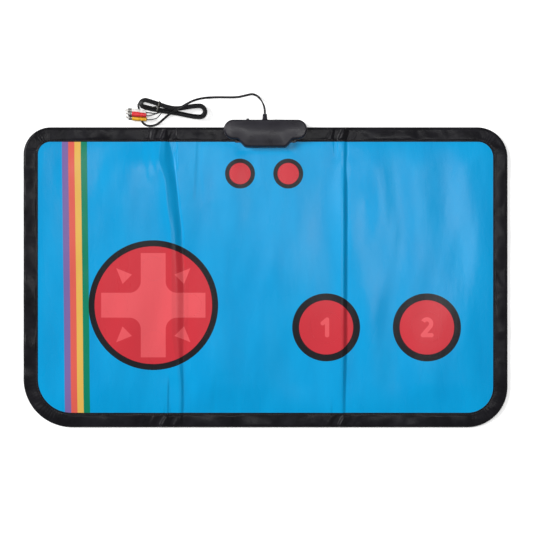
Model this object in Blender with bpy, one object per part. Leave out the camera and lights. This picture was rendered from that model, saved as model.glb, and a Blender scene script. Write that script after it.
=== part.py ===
"""A folding electronic dance mat with its control box and its AV lead, as an assembly of separate pieces.

Metres, +Z up. The origin is on the floor under the middle of the mat. +Y is the back, where the box is.
"""

import math

import bmesh
import bpy
from mathutils import Vector

# The mat
MAT_WIDTH = 0.800
MAT_DEPTH = 0.496
CORNER_BACK_LEFT = 0.045
CORNER_BACK_RIGHT = 0.050
CORNER_FRONT_LEFT = 0.080
CORNER_FRONT_RIGHT = 0.067
BINDING_WIDTH = 0.0245
BINDING_WALL = 0.0014
BINDING_ROUND = 0.0012
LEFT_FOLD_X = -0.147
RIGHT_FOLD_X = 0.130

# Layers of the mat, from the floor up
BACKING_THICK = 0.0008
BASE_FOAM_THICK = 0.0032
FILM_THICK = 0.0004
SPACER_THICK = 0.0016
COVER_THICK = 0.0010
FILM_MARGIN = 0.012

# Clearance between neighbouring pieces
GAP = 0.0003

# Step pads
ARROW_RADIUS = 0.019
ARROW_REACH = 0.060
ARROW_FOLD_MARGIN = 0.003
CROSS_FROM_FRONT = 0.202
ACTION_RADIUS = 0.026
ACTION_FOLD_MARGIN = 0.004
ACTION_SPACING = 0.166
ACTION_FROM_FRONT = 0.1655
SMALL_RADIUS = 0.0145
SMALL_SPACING = 0.0795
SMALL_MIDDLE_X = -0.00225
SMALL_FROM_BACK = 0.077
PAD_CHAMFER = 0.0002

# Control box
BOX_X = 0.0
BOX_BACK_OVERHANG = 0.011
BAR_HALF_LENGTH = 0.0683
BAR_DEPTH = 0.0316
LOBE_DEPTH = 0.0127
LOBE_HALF_BACK = 0.047
LOBE_HALF_FRONT = 0.031
BOX_WALL = 0.0018
BOX_TOP = 0.023
BOX_EDGE_ROUND = 0.003
PLATE_THICK = 0.0014
PLATE_LIP = 0.0008
TUB_HALF_WIDTH = 0.0497
TUB_CORNER = 0.004
TUB_FLOOR = 0.0024
TUB_LIFT = 0.0003
LEDGE_WIDTH = 0.0045
LEDGE_BINDING_MARGIN = 0.004

# Cells, door and contacts
CELL_LENGTH = 0.0445
CELL_RADIUS = 0.00525
CELL_NUB_RADIUS = 0.0019
CELL_NUB_LENGTH = 0.0008
CELL_EDGE = 0.0006
CELL_COUNT = 3
CELL_X = 0.006
CONTACT_THICK = 0.0006
DOOR_WING = 0.002
DOOR_LIP = 0.001
DOOR_MARGIN = 0.0015
GRIP_COUNT = 3
GRIP_PITCH = 0.003
GRIP_WIDTH = 0.0012
GRIP_DEPTH = 0.0005
GRIP_FROM_BACK = 0.006
GRIP_FROM_SIDE = 0.012

# Board and switch
BOARD_THICK = 0.0016
BOARD_DEPTH = 0.0265
CHIP_RADIUS = 0.0045
CHIP_HEIGHT = 0.0018
TAIL_WIDTH = 0.0170
TAIL_REACH = 0.012
SWITCH_X = -0.0293
SWITCH_WIDTH = 0.0100
SWITCH_DEPTH = 0.0055
SWITCH_HEIGHT = 0.0056
SWITCH_TRAVEL = 0.003
NUB_WIDTH = 0.0044
NUB_HEIGHT = 0.0024
NUB_OUT = 0.003

# Screws
SCREW_HEAD_RADIUS = 0.0023
SCREW_HEAD_THICK = 0.0016
SCREW_SHANK_RADIUS = 0.0011
SCREW_LENGTH = 0.0150
BOSS_WALL = 0.0017
DRIVE_REACH = 0.0013
DRIVE_HALF_WIDTH = 0.0003
DRIVE_DEPTH = 0.0009
SCREW_FROM_SIDE = 0.0045
LEFT_SCREW_FROM_BACK = 0.0185
RIGHT_SCREWS_FROM_BACK = (0.0085, 0.0275)

# Strain relief, as half widths and half heights of its oval steps
RELIEF_X = -0.001
RELIEF_Z = 0.0167
RELIEF_NECK = (0.0032, 0.0021)
RELIEF_FLANGE = (0.0044, 0.0031)
RELIEF_TIP = (0.0026, 0.0019)
RELIEF_FLANGE_THICK = 0.0015
RELIEF_LENGTH = 0.0095

# AV lead: distances are from the point where it leaves the strain relief
CORD_DIAMETER = 0.003
LEAD_DIAMETER = 0.0018
FLOOR_Z = CORD_DIAMETER / 2
CORD_ROUTE = (
    (0.0000, 0.0000, RELIEF_Z), (-0.0002, 0.0055, RELIEF_Z - 0.0002), (-0.0014, 0.0125, 0.0145),
    (-0.0046, 0.0205, 0.0098), (-0.0092, 0.0275, 0.0058), (-0.0142, 0.0319, 0.0033),
    (-0.0213, 0.0343, 0.0018), (-0.0313, 0.0325, FLOOR_Z), (-0.0439, 0.0298, FLOOR_Z),
    (-0.0566, 0.0292, FLOOR_Z), (-0.0757, 0.0293, FLOOR_Z), (-0.0890, 0.0289, 0.0022),
    (-0.0985, 0.0278, 0.0048), (-0.1085, 0.0254, 0.0098), (-0.1180, 0.0218, 0.0142),
    (-0.1268, 0.0172, 0.0163), (-0.1361, 0.0118, 0.0170), (-0.1445, 0.0066, 0.0172),
    (-0.1540, 0.0010, 0.0166), (-0.1615, -0.0040, 0.0142), (-0.1680, -0.0088, 0.0098),
    (-0.1745, -0.0135, 0.0052), (-0.1812, -0.0168, 0.0024), (-0.1880, -0.0181, FLOOR_Z),
    (-0.1945, -0.0177, FLOOR_Z), (-0.2001, -0.0149, FLOOR_Z), (-0.2034, -0.0105, FLOOR_Z),
    (-0.2056, -0.0045, FLOOR_Z), (-0.2075, 0.0030, FLOOR_Z),
)
CORD_POINTS = 80

# Hank: loops of half turns, spiralling in and out in four layers
HANK_MIDDLE = (-0.1530, 0.0042)
HANK_HALF_RUN = 0.045
HANK_INNER_RADIUS = 0.0064
HANK_LEFT_NARROWER = 0.0030
HANK_PITCH = 0.0036
HANK_LEAN = 0.285
HANK_BEND = 0.015
HANK_HALF_TURNS = 11.63
HANK_STEPS = 6
TIE_ALONG = -0.0225
TIE_WIRE = 0.0010
TIE_TWIST_PITCH = 0.0016
TIE_HUMP_FLAT = 0.008
TIE_HUMP_REACH = 0.030

# Phono plugs
PLUG_LENGTH = 0.0236
PLUG_RADIUS = 0.0043
PLUG_TILT = math.radians(6)
PLUG_SPACING = 0.0114
PLUG_REAR = (-0.1945, -0.0024)
PLUG_AHEAD = {"white": 0.0022, "red": 0.0004, "yellow": 0.0}
PLUG_COLOURS = {"white": (0.80, 0.80, 0.78), "red": (0.74, 0.020, 0.030), "yellow": (0.90, 0.50, 0.010)}
RING_RADIUS = 0.0041
RING_WALL = 0.0006
RING_LENGTH = 0.0060
PIN_RADIUS = 0.0016
PIN_LENGTH = 0.0110

# Single leads: each one's place in the row at the flat cord's end, how far it bows forwards, and how high
LEAD_PITCH = 0.0025
LEAD_FAN = math.radians(35)
LEAD_END_RUN = 0.005
LEAD_START_RUN = 0.003
LEAD_BOWS = {"white": (0, 0.0023, 0.0106), "red": (1, 0.0006, 0.0160), "yellow": (-1, 0.0027, 0.0098)}

# Heights that follow from the layers
FOAM_Z = BACKING_THICK + GAP
FILM_Z = FOAM_Z + BASE_FOAM_THICK + GAP
SPACER_Z = FILM_Z + FILM_THICK + GAP
COVER_Z = SPACER_Z + SPACER_THICK + GAP
MAT_TOP = COVER_Z + COVER_THICK
PLATE_Z = MAT_TOP + GAP
SHELL_Z = PLATE_Z + PLATE_THICK + GAP

# Places that follow from the mat and the box
BACK_Y = MAT_DEPTH / 2
CROSS_Y = -BACK_Y + CROSS_FROM_FRONT
ACTION_Y = -BACK_Y + ACTION_FROM_FRONT
SMALL_Y = BACK_Y - SMALL_FROM_BACK
BOX_BACK_Y = BACK_Y + BOX_BACK_OVERHANG
BAR_FRONT_Y = BOX_BACK_Y - BAR_DEPTH
CELL_PITCH = 2 * CELL_RADIUS + GAP
BAY_DEPTH = CELL_COUNT * CELL_PITCH + GAP
TUB_BACK_Y = BOX_BACK_Y - GAP
TUB_FRONT_Y = TUB_BACK_Y - BAY_DEPTH - 2 * BOX_WALL
CELL_Z = TUB_LIFT + TUB_FLOOR + CELL_RADIUS
BAY_HALF_LENGTH = CELL_LENGTH / 2 + CELL_NUB_LENGTH + 2 * GAP + CONTACT_THICK
EXIT = Vector((BOX_X + RELIEF_X, BOX_BACK_Y + RELIEF_LENGTH + GAP, 0))


def clear_scene():
    for thing in list(bpy.data.objects):
        bpy.data.objects.remove(thing)


def material(name, colour, roughness, metallic=0.0):
    """A plain finish, made once and then shared."""
    found = bpy.data.materials.get(name)
    if found:
        return found
    made = bpy.data.materials.new(name)
    made.use_nodes = True
    shader = made.node_tree.nodes["Principled BSDF"]
    shader.inputs["Base Color"].default_value = (*colour, 1)
    shader.inputs["Roughness"].default_value = roughness
    shader.inputs["Metallic"].default_value = metallic
    return made


def finish(name, bm, finish_material, carrier=None, smooth=False):
    """An object from a bmesh in world places, held by its carrier where it moves."""
    bmesh.ops.recalc_face_normals(bm, faces=bm.faces)
    mesh = bpy.data.meshes.new(name)
    bm.to_mesh(mesh)
    bm.free()
    mesh.materials.append(finish_material)
    if smooth:
        mesh.shade_smooth()
        mesh.set_sharp_from_angle(angle=math.radians(35))
    thing = bpy.data.objects.new(name, mesh)
    bpy.context.collection.objects.link(thing)
    hold(thing, carrier)
    return thing


def hold(thing, carrier):
    if carrier:
        thing.parent = carrier
        thing.location = -place_of(carrier)


def place_of(thing):
    place = thing.location.copy()
    while thing.parent:
        thing = thing.parent
        place += thing.location
    return place


def carrier_at(name, place, parent=None):
    """An empty on a joint's axis, which carries the pieces that move about it."""
    empty = bpy.data.objects.new(name, None)
    bpy.context.collection.objects.link(empty)
    empty.location = Vector(place) - (place_of(parent) if parent else Vector())
    empty.parent = parent
    return empty


def arc(x, y, radius, start, end, steps):
    """Points on an arc, from one angle to another in degrees."""
    angles = [math.radians(start + (end - start) * i / steps) for i in range(steps + 1)]
    return [(x + radius * math.cos(a), y + radius * math.sin(a)) for a in angles]


def circle(x, y, radius, steps=32):
    return arc(x, y, radius, 0, 360, steps)[:-1]


def rounded_box(x0, x1, y0, y1, radius, steps=4):
    return (
        arc(x1 - radius, y1 - radius, radius, 0, 90, steps)
        + arc(x0 + radius, y1 - radius, radius, 90, 180, steps)
        + arc(x0 + radius, y0 + radius, radius, 180, 270, steps)
        + arc(x1 - radius, y0 + radius, radius, 270, 360, steps)
    )


def block(x0, x1, y0, y1):
    return [(x0, y0), (x1, y0), (x1, y1), (x0, y1)]


def sheet_mesh(outline, bottom, top, holes=()):
    """A flat sheet with round or square holes."""
    bm = bmesh.new()
    edges = []
    for loop in (outline, *holes):
        verts = [bm.verts.new((x, y, bottom)) for x, y in loop]
        edges += [bm.edges.new(pair) for pair in zip(verts, verts[1:] + verts[:1])]
    bmesh.ops.triangle_fill(bm, edges=edges, use_beauty=True, use_dissolve=False)
    lower = list(bm.faces)
    copy = bmesh.ops.duplicate(bm, geom=lower + edges)
    moved = [v for v in copy["geom"] if isinstance(v, bmesh.types.BMVert)]
    bmesh.ops.translate(bm, verts=moved, vec=(0, 0, top - bottom))
    rims = [copy["edge_map"][e] for e in edges]
    for low, high in zip(edges, rims):
        ends = [copy["vert_map"][v] for v in low.verts]
        bm.faces.new((low.verts[0], low.verts[1], ends[1], ends[0]))
    return bm


def sheet(name, outline, bottom, top, finish_material, holes=(), carrier=None):
    return finish(name, sheet_mesh(outline, bottom, top, holes), finish_material, carrier)


def loft_mesh(rings):
    """A closed body through rings of points, capped at both ends."""
    bm = bmesh.new()
    rows = [[bm.verts.new(point) for point in ring] for ring in rings]
    count = len(rings[0])
    for row, following in zip(rows, rows[1:]):
        for i in range(count):
            j = (i + 1) % count
            bm.faces.new((row[i], row[j], following[j], following[i]))
    caps = [bm.faces.new(rows[0]), bm.faces.new(rows[-1])]
    bmesh.ops.triangulate(bm, faces=caps, ngon_method="EAR_CLIP")
    return bm


def loft(name, rings, finish_material, carrier=None, smooth=False):
    return finish(name, loft_mesh(rings), finish_material, carrier, smooth)


def turned_rings(profile, centre, along, steps=16):
    """Rings of a turned profile of (distance, radius) steps along an axis."""
    along = Vector(along).normalized()
    side = along.orthogonal().normalized()
    other = along.cross(side)
    rings = []
    for distance, radius in profile:
        middle = Vector(centre) + along * distance
        angles = [2 * math.pi * i / steps for i in range(steps)]
        rings.append([middle + (side * math.cos(a) + other * math.sin(a)) * radius for a in angles])
    return rings


def shape_with(target, tool, operation):
    """Joins a tool body to a target, or cuts it out. EXACT leaves open edges at the drilled bosses."""
    tool.hide_render = True
    tool.display_type = "WIRE"
    step = target.modifiers.new(tool.name, "BOOLEAN")
    step.operation = operation
    step.object = tool
    step.solver = "MANIFOLD"


def cut_sheet(target, name, outline, bottom, top):
    tool = sheet(name, outline, bottom, top, target.data.materials[0])
    shape_with(target, tool, "DIFFERENCE")


def add_sheet(target, name, outline, bottom, top):
    tool = sheet(name, outline, bottom, top, target.data.materials[0])
    shape_with(target, tool, "UNION")


def smooth_step(t):
    t = min(1.0, max(0.0, t))
    return t * t * (3 - 2 * t)


# Finishes
BLUE = (0.010, 0.325, 0.66)
BLACK_CLOTH = (0.010, 0.010, 0.013)
BLACK_PLASTIC = (0.016, 0.015, 0.019)
RED = (0.66, 0.060, 0.075)


def cover_vinyl():
    return material("cover_vinyl", BLUE, 0.35)


def pad_vinyl():
    return material("pad_vinyl", RED, 0.35)


def binding_vinyl():
    return material("binding_vinyl", BLACK_CLOTH, 0.5)


def backing_fabric():
    return material("backing_fabric", (0.02, 0.02, 0.022), 0.85)


def foam():
    return material("foam", (0.62, 0.62, 0.60), 0.95)


def contact_film():
    return material("contact_film", (0.55, 0.62, 0.62), 0.25)


def case_plastic():
    return material("case_plastic", BLACK_PLASTIC, 0.42)


def cord_vinyl():
    return material("cord_vinyl", BLACK_PLASTIC, 0.38)


def bright_metal():
    return material("bright_metal", (0.72, 0.70, 0.66), 0.25, 1.0)


# Outlines of the mat


def side_path(inset, side):
    """Round a folding panel at a distance inside its edge, from the fold's back end to its front end."""
    fold = LEFT_FOLD_X - GAP if side < 0 else RIGHT_FOLD_X + GAP
    edge = side * (MAT_WIDTH / 2 - inset)
    back = BACK_Y - inset
    front = -BACK_Y + inset
    back_round = (CORNER_BACK_LEFT if side < 0 else CORNER_BACK_RIGHT) - inset
    front_round = (CORNER_FRONT_LEFT if side < 0 else CORNER_FRONT_RIGHT) - inset
    turn = 90 if side < 0 else -90
    return (
        [(fold, back)]
        + arc(edge - side * back_round, back - back_round, back_round, 90, 90 + turn, 8)
        + arc(edge - side * front_round, front + front_round, front_round, 90 + turn, 90 + 2 * turn, 8)
        + [(fold, front)]
    )


def centre_outline(inset, half_notch, notch_y, tail=False):
    """The centre panel between its folds, notched at the back round the box's tub."""
    left, right = LEFT_FOLD_X + GAP, RIGHT_FOLD_X - GAP
    back = BACK_Y - inset
    points = [(left, back), (left, inset - BACK_Y), (right, inset - BACK_Y), (right, back)]
    if notch_y < back:
        points += [(BOX_X + half_notch, back), (BOX_X + half_notch, notch_y)]
        if tail:
            x0, x1 = tail_sides()
            points += [(x1, notch_y), (x1, tail_end()), (x0, tail_end()), (x0, notch_y)]
        points += [(BOX_X - half_notch, notch_y), (BOX_X - half_notch, back)]
    return points


def tail_sides():
    middle = sum(board_sides()) / 2
    return middle - TAIL_WIDTH / 2, middle + TAIL_WIDTH / 2


def tail_end():
    return TUB_FRONT_Y + BOX_WALL + TAIL_REACH


def board_sides():
    """The board fits between the left screw boss and the wall of the battery bay."""
    boss_right = screw_points()[0][0] + boss_radius()
    bay_left = bay_sides()[0] - BOX_WALL
    return boss_right + 2 * GAP, bay_left - 2 * GAP


# Places of the step pads


def pad_places():
    right_x = LEFT_FOLD_X + ARROW_FOLD_MARGIN + ARROW_RADIUS
    cross_x = right_x - ARROW_REACH
    first_x = RIGHT_FOLD_X - ACTION_FOLD_MARGIN - ACTION_RADIUS
    return {
        "up_pad": (cross_x, CROSS_Y + ARROW_REACH, ARROW_RADIUS, "left"),
        "down_pad": (cross_x, CROSS_Y - ARROW_REACH, ARROW_RADIUS, "left"),
        "left_pad": (cross_x - ARROW_REACH, CROSS_Y, ARROW_RADIUS, "left"),
        "right_pad": (right_x, CROSS_Y, ARROW_RADIUS, "centre"),
        "action_pad_one": (first_x, ACTION_Y, ACTION_RADIUS, "centre"),
        "action_pad_two": (first_x + ACTION_SPACING, ACTION_Y, ACTION_RADIUS, "right"),
        "reset_pad": (SMALL_MIDDLE_X - SMALL_SPACING / 2, SMALL_Y, SMALL_RADIUS, "centre"),
        "start_pad": (SMALL_MIDDLE_X + SMALL_SPACING / 2, SMALL_Y, SMALL_RADIUS, "centre"),
    }


def make_panel(panel, carrier):
    """The layers of one panel of the mat, with a hole in cover and spacer at each step pad."""
    holes = [circle(x, y, radius + GAP) for x, y, radius, on in pad_places().values() if on == panel]
    side = {"left": -1, "right": 1}.get(panel)
    notch = TUB_HALF_WIDTH + GAP
    ledge = notch + LEDGE_WIDTH
    notch_y = TUB_FRONT_Y - GAP
    inner = BINDING_WIDTH + GAP
    under_binding = BINDING_WALL + GAP

    def outline(inset, wide=notch, deep=notch_y, tail=False):
        return side_path(inset, side) if side else centre_outline(inset, wide, deep, tail)

    sheet(f"{panel}_backing", outline(inner), 0, BACKING_THICK, backing_fabric(), (), carrier)
    sheet(f"{panel}_base_foam", outline(under_binding), FOAM_Z, FOAM_Z + BASE_FOAM_THICK, foam(), (),
          carrier)
    sheet(f"{panel}_contact_film", outline(FILM_MARGIN, tail=True), FILM_Z, FILM_Z + FILM_THICK,
          contact_film(), (), carrier)
    sheet(f"{panel}_spacer_foam", outline(under_binding, ledge, notch_y - LEDGE_WIDTH), SPACER_Z,
          SPACER_Z + SPACER_THICK, foam(), holes, carrier)
    sheet(f"{panel}_cover", outline(inner), COVER_Z, MAT_TOP, cover_vinyl(), holes, carrier)


def binding_profile():
    """The binding's channel section, as steps of (distance in from the edge, height)."""
    wall, rim = BINDING_WALL, BINDING_ROUND
    knee = rim * (1 - math.sqrt(0.5))
    outer = [(BINDING_WIDTH, 0), (rim, 0), (knee, knee), (0, rim)]
    outer += [(0, MAT_TOP - rim), (knee, MAT_TOP - knee), (rim, MAT_TOP), (BINDING_WIDTH, MAT_TOP)]
    inner = [(BINDING_WIDTH, COVER_Z), (wall, COVER_Z)]
    inner += [(wall, BACKING_THICK), (BINDING_WIDTH, BACKING_THICK)]
    return outer + inner


def make_side_binding(name, side, carrier):
    paths = [(side_path(inset, side), height) for inset, height in binding_profile()]
    stations = len(paths[0][0])
    rings = [[(*path[i], height) for path, height in paths] for i in range(stations)]
    loft(name, rings, binding_vinyl(), carrier)


def make_straight_binding(name, x0, x1, back):
    facing = 1 if back else -1
    section = [(facing * (BACK_Y - inset), height) for inset, height in reversed(binding_profile())]
    loft(name, [[(x, y, height) for y, height in section] for x in (x0, x1)], binding_vinyl())


def make_pads(carriers):
    for name, (x, y, radius, panel) in pad_places().items():
        holder = carrier_at(f"{name}_axis", (x, y, MAT_TOP), carriers[panel])
        steps = ((COVER_Z, radius), (MAT_TOP - PAD_CHAMFER, radius), (MAT_TOP, radius - PAD_CHAMFER))
        rings = [[(*point, height) for point in circle(x, y, r)] for height, r in steps]
        loft(name, rings, pad_vinyl(), holder)


def make_mat():
    left = carrier_at("left_fold_axis", (LEFT_FOLD_X, 0, MAT_TOP + GAP))
    right = carrier_at("right_fold_axis", (RIGHT_FOLD_X, 0, -GAP))
    carriers = {"left": left, "centre": None, "right": right}
    for panel, carrier in carriers.items():
        make_panel(panel, carrier)
    make_side_binding("left_binding", -1, left)
    make_side_binding("right_binding", 1, right)
    notch = TUB_HALF_WIDTH + GAP
    x0, x1 = LEFT_FOLD_X + GAP, RIGHT_FOLD_X - GAP
    make_straight_binding("centre_front_binding", x0, x1, back=False)
    make_straight_binding("centre_back_left_binding", x0, BOX_X - notch, back=True)
    make_straight_binding("centre_back_right_binding", BOX_X + notch, x1, back=True)
    make_pads(carriers)


# Control box


def box_outline(grow=0.0):
    """The box from above: a bar with round ends and a lobe at the front. grow moves its wall outwards."""
    radius = BAR_DEPTH / 2
    middle_y = BOX_BACK_Y - radius
    straight = BAR_HALF_LENGTH - radius
    points = arc(BOX_X + straight, middle_y, radius, -90, 90, 18)
    points += arc(BOX_X - straight, middle_y, radius, 90, 270, 18)
    steps = 10
    for i in range(1, steps + 1):
        t = i / steps
        x = LOBE_HALF_BACK + (LOBE_HALF_FRONT - LOBE_HALF_BACK) * t
        points.append((BOX_X - x, BAR_FRONT_Y - LOBE_DEPTH * smooth_step(t)))
    for i in range(steps, 0, -1):
        t = i / steps
        x = LOBE_HALF_BACK + (LOBE_HALF_FRONT - LOBE_HALF_BACK) * t
        points.append((BOX_X + x, BAR_FRONT_Y - LOBE_DEPTH * smooth_step(t)))
    return moved_out(points, grow)


def moved_out(points, distance):
    """Each point of a counter-clockwise outline moved outwards, square to the wall on its two sides."""
    if not distance:
        return points
    made = []
    count = len(points)
    for i, (x, y) in enumerate(points):
        before, after = Vector(points[i - 1]), Vector(points[(i + 1) % count])
        here = Vector((x, y))
        first, second = (here - before).normalized(), (after - here).normalized()
        way = (first + second).normalized()
        spread = max(0.5, math.sqrt(max(0.0, (1 + first.dot(second)) / 2)))
        made.append((x + way.y * distance / spread, y - way.x * distance / spread))
    return made


def bay_sides():
    return BOX_X + CELL_X - BAY_HALF_LENGTH, BOX_X + CELL_X + BAY_HALF_LENGTH


def door_sides():
    x0, x1 = bay_sides()
    return x0 + DOOR_MARGIN, x1 - DOOR_MARGIN


def screw_points():
    reach = TUB_HALF_WIDTH - SCREW_FROM_SIDE
    left = [(BOX_X - reach, BOX_BACK_Y - LEFT_SCREW_FROM_BACK)]
    return left + [(BOX_X + reach, BOX_BACK_Y - y) for y in RIGHT_SCREWS_FROM_BACK]


def screw_hole_radius():
    return SCREW_SHANK_RADIUS + GAP


def boss_radius():
    return screw_hole_radius() + BOSS_WALL


def make_lower_shell():
    x0, x1 = BOX_X - TUB_HALF_WIDTH, BOX_X + TUB_HALF_WIDTH
    tub = rounded_box(x0, x1, TUB_FRONT_Y, TUB_BACK_Y, TUB_CORNER)
    shell = sheet("box_lower_shell", tub, TUB_LIFT, PLATE_Z + PLATE_THICK / 2, case_plastic())
    add_sheet(shell, "plate_tool", box_outline(PLATE_LIP), PLATE_Z, PLATE_Z + PLATE_THICK)
    ledge = block(x0 - LEDGE_WIDTH, x1 + LEDGE_WIDTH, TUB_FRONT_Y - LEDGE_WIDTH,
                  BACK_Y - BINDING_WALL - LEDGE_BINDING_MARGIN)
    add_sheet(shell, "ledge_tool", ledge, SPACER_Z, SPACER_Z + SPACER_THICK)

    top = PLATE_Z + 2 * PLATE_THICK
    inside = rounded_box(x0 + BOX_WALL, x1 - BOX_WALL, TUB_FRONT_Y + BOX_WALL, TUB_BACK_Y - BOX_WALL,
                         TUB_CORNER - BOX_WALL)
    cut_sheet(shell, "inside_tool", inside, TUB_LIFT + TUB_FLOOR, top)

    bay_left, bay_right = bay_sides()
    floor_top = TUB_LIFT + TUB_FLOOR
    in_floor = TUB_LIFT + TUB_FLOOR / 2
    in_front, in_back = TUB_FRONT_Y + BOX_WALL / 2, TUB_BACK_Y - BOX_WALL / 2
    for side, x in (("left", bay_left - BOX_WALL), ("right", bay_right)):
        wall = block(x, x + BOX_WALL, in_front, in_back)
        add_sheet(shell, f"{side}_bay_wall_tool", wall, in_floor, PLATE_Z)
    for number, (x, y) in enumerate(screw_points(), 1):
        boss, hole = circle(x, y, boss_radius(), 16), circle(x, y, screw_hole_radius(), 16)
        add_sheet(shell, f"boss_tool_{number}", boss, in_floor, PLATE_Z + PLATE_THICK)
        cut_sheet(shell, f"screw_hole_tool_{number}", hole, -TUB_FLOOR, top)
        cut_sheet(shell, f"head_hole_tool_{number}", circle(x, y, SCREW_HEAD_RADIUS + GAP, 16), -TUB_FLOOR,
                  screw_base_z() + SCREW_HEAD_THICK + GAP)

    door_left, door_right = door_sides()
    front, beyond = TUB_FRONT_Y + BOX_WALL - GAP, BOX_BACK_Y + BOX_WALL
    door_hole = block(door_left - GAP, door_right + GAP, front, beyond)
    runner = block(door_left - DOOR_WING - GAP, door_right + DOOR_WING + GAP, front, beyond)
    cut_sheet(shell, "door_tool", door_hole, -TUB_FLOOR, floor_top + GAP)
    cut_sheet(shell, "wing_tool", runner, TUB_LIFT + DOOR_LIP, floor_top)

    x0, x1 = tail_sides()
    tail_slot = block(x0 - GAP, x1 + GAP, TUB_FRONT_Y - 2 * BOX_WALL, TUB_FRONT_Y + 2 * BOX_WALL)
    cut_sheet(shell, "tail_slot_tool", tail_slot, FILM_Z - GAP, FILM_Z + FILM_THICK + GAP)
    x0, x1, low, high = switch_slot()
    slot = block(x0, x1, TUB_BACK_Y - 2 * BOX_WALL, BOX_BACK_Y + BOX_WALL)
    cut_sheet(shell, "lower_slot_tool", slot, low, high)
    return shell


def switch_slot():
    x = BOX_X + SWITCH_X
    middle = nub_middle_z()
    return (x - NUB_WIDTH / 2 - GAP, x + NUB_WIDTH / 2 + SWITCH_TRAVEL + GAP,
            middle - NUB_HEIGHT / 2 - GAP, middle + NUB_HEIGHT / 2 + GAP)


def board_z():
    """The board lies on the film's tail."""
    return FILM_Z + FILM_THICK + GAP


def nub_middle_z():
    return board_z() + BOARD_THICK + GAP + SWITCH_HEIGHT / 2


def make_upper_shell():
    steps = 5
    rings = []
    for i in range(steps + 1):
        angle = math.pi / 2 * i / steps
        inset = BOX_EDGE_ROUND * (1 - math.sin(angle))
        height = BOX_TOP - BOX_EDGE_ROUND * (1 - math.cos(angle))
        rings.append([(x, y, height) for x, y in box_outline(-inset)])
    rings.append([(x, y, SHELL_Z) for x, y in box_outline()])
    inside = box_outline(-BOX_WALL)
    rings.append([(x, y, SHELL_Z) for x, y in inside])
    rings.append([(x, y, BOX_TOP - BOX_WALL - BOX_EDGE_ROUND / 2) for x, y in inside])
    rings.append([(x, y, BOX_TOP - BOX_WALL) for x, y in box_outline(-BOX_WALL - BOX_EDGE_ROUND / 2)])
    shell = loft("box_upper_shell", rings, case_plastic(), smooth=True)
    pilot_top = screw_tip_z() + 2 * GAP
    for number, (x, y) in enumerate(screw_points(), 1):
        boss, hole = circle(x, y, boss_radius(), 16), circle(x, y, screw_hole_radius(), 16)
        add_sheet(shell, f"upper_boss_tool_{number}", boss, SHELL_Z, BOX_TOP - BOX_WALL / 2)
        cut_sheet(shell, f"pilot_tool_{number}", hole, SHELL_Z - PLATE_THICK, pilot_top)
    hole = [oval_ring(y, RELIEF_NECK[0] + GAP, RELIEF_NECK[1] + GAP)
            for y in (BOX_BACK_Y - 2 * BOX_WALL, BOX_BACK_Y + BOX_WALL)]
    shape_with(shell, loft("relief_tool", hole, case_plastic()), "DIFFERENCE")
    x0, x1, low, high = switch_slot()
    slot = block(x0, x1, BOX_BACK_Y - 2 * BOX_WALL, BOX_BACK_Y + BOX_WALL)
    cut_sheet(shell, "upper_slot_tool", slot, low, high)
    return shell


def oval_ring(y, half_width, half_height, steps=16):
    x = BOX_X + RELIEF_X
    angles = [2 * math.pi * i / steps for i in range(steps)]
    return [(x + half_width * math.cos(a), y, RELIEF_Z + half_height * math.sin(a)) for a in angles]


def make_strain_relief():
    inside = BOX_BACK_Y - BOX_WALL - GAP
    outside = BOX_BACK_Y + GAP
    stations = (
        (inside - RELIEF_FLANGE_THICK, *RELIEF_FLANGE), (inside, *RELIEF_FLANGE), (inside, *RELIEF_NECK),
        (outside, *RELIEF_NECK), (outside, *RELIEF_FLANGE), (outside + RELIEF_FLANGE_THICK, *RELIEF_FLANGE),
        (outside + 2 * RELIEF_FLANGE_THICK, RELIEF_FLANGE[0] * 0.8, RELIEF_FLANGE[1] * 0.8),
        (BOX_BACK_Y + RELIEF_LENGTH, *RELIEF_TIP),
    )
    loft("strain_relief", [oval_ring(*station) for station in stations], case_plastic(), smooth=True)


def make_door():
    """A flat door whose side wings run on the lips of the tub's floor."""
    x0, x1 = door_sides()
    low, high = TUB_LIFT, TUB_LIFT + TUB_FLOOR - GAP
    wing_low = TUB_LIFT + DOOR_LIP + GAP
    section = [(x0, low), (x1, low), (x1, wing_low), (x1 + DOOR_WING, wing_low), (x1 + DOOR_WING, high),
               (x0 - DOOR_WING, high), (x0 - DOOR_WING, wing_low), (x0, wing_low)]
    front, back = TUB_FRONT_Y + BOX_WALL, TUB_BACK_Y
    holder = carrier_at("door_axis", ((x0 + x1) / 2, back, low))
    rings = [[(x, y, z) for x, z in section] for y in (front, back)]
    door = loft("battery_door", rings, case_plastic(), holder)
    for number in range(GRIP_COUNT):
        y = back - GRIP_FROM_BACK - GRIP_PITCH * number
        groove = block(x0 + GRIP_FROM_SIDE, x1 - GRIP_FROM_SIDE, y, y + GRIP_WIDTH)
        cut_sheet(door, f"grip_tool_{number + 1}", groove, -TUB_FLOOR, low + GRIP_DEPTH)


def make_cells():
    steel = material("cell_sleeve", (0.30, 0.31, 0.33), 0.35, 0.4)
    for number in range(CELL_COUNT):
        y = TUB_FRONT_Y + BOX_WALL + GAP + CELL_RADIUS + CELL_PITCH * number
        facing = 1 if number % 2 == 0 else -1
        end = CELL_LENGTH / 2
        shoulder = end - CELL_NUB_LENGTH
        profile = ((-end, CELL_RADIUS - CELL_EDGE), (-end + CELL_EDGE, CELL_RADIUS),
                   (shoulder - CELL_EDGE, CELL_RADIUS), (shoulder, CELL_RADIUS - CELL_EDGE),
                   (shoulder, CELL_NUB_RADIUS), (end, CELL_NUB_RADIUS))
        rings = turned_rings(profile, (BOX_X + CELL_X, y, CELL_Z), (facing, 0, 0))
        loft(f"battery_cell_{number + 1}", rings, steel, smooth=True)


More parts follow.
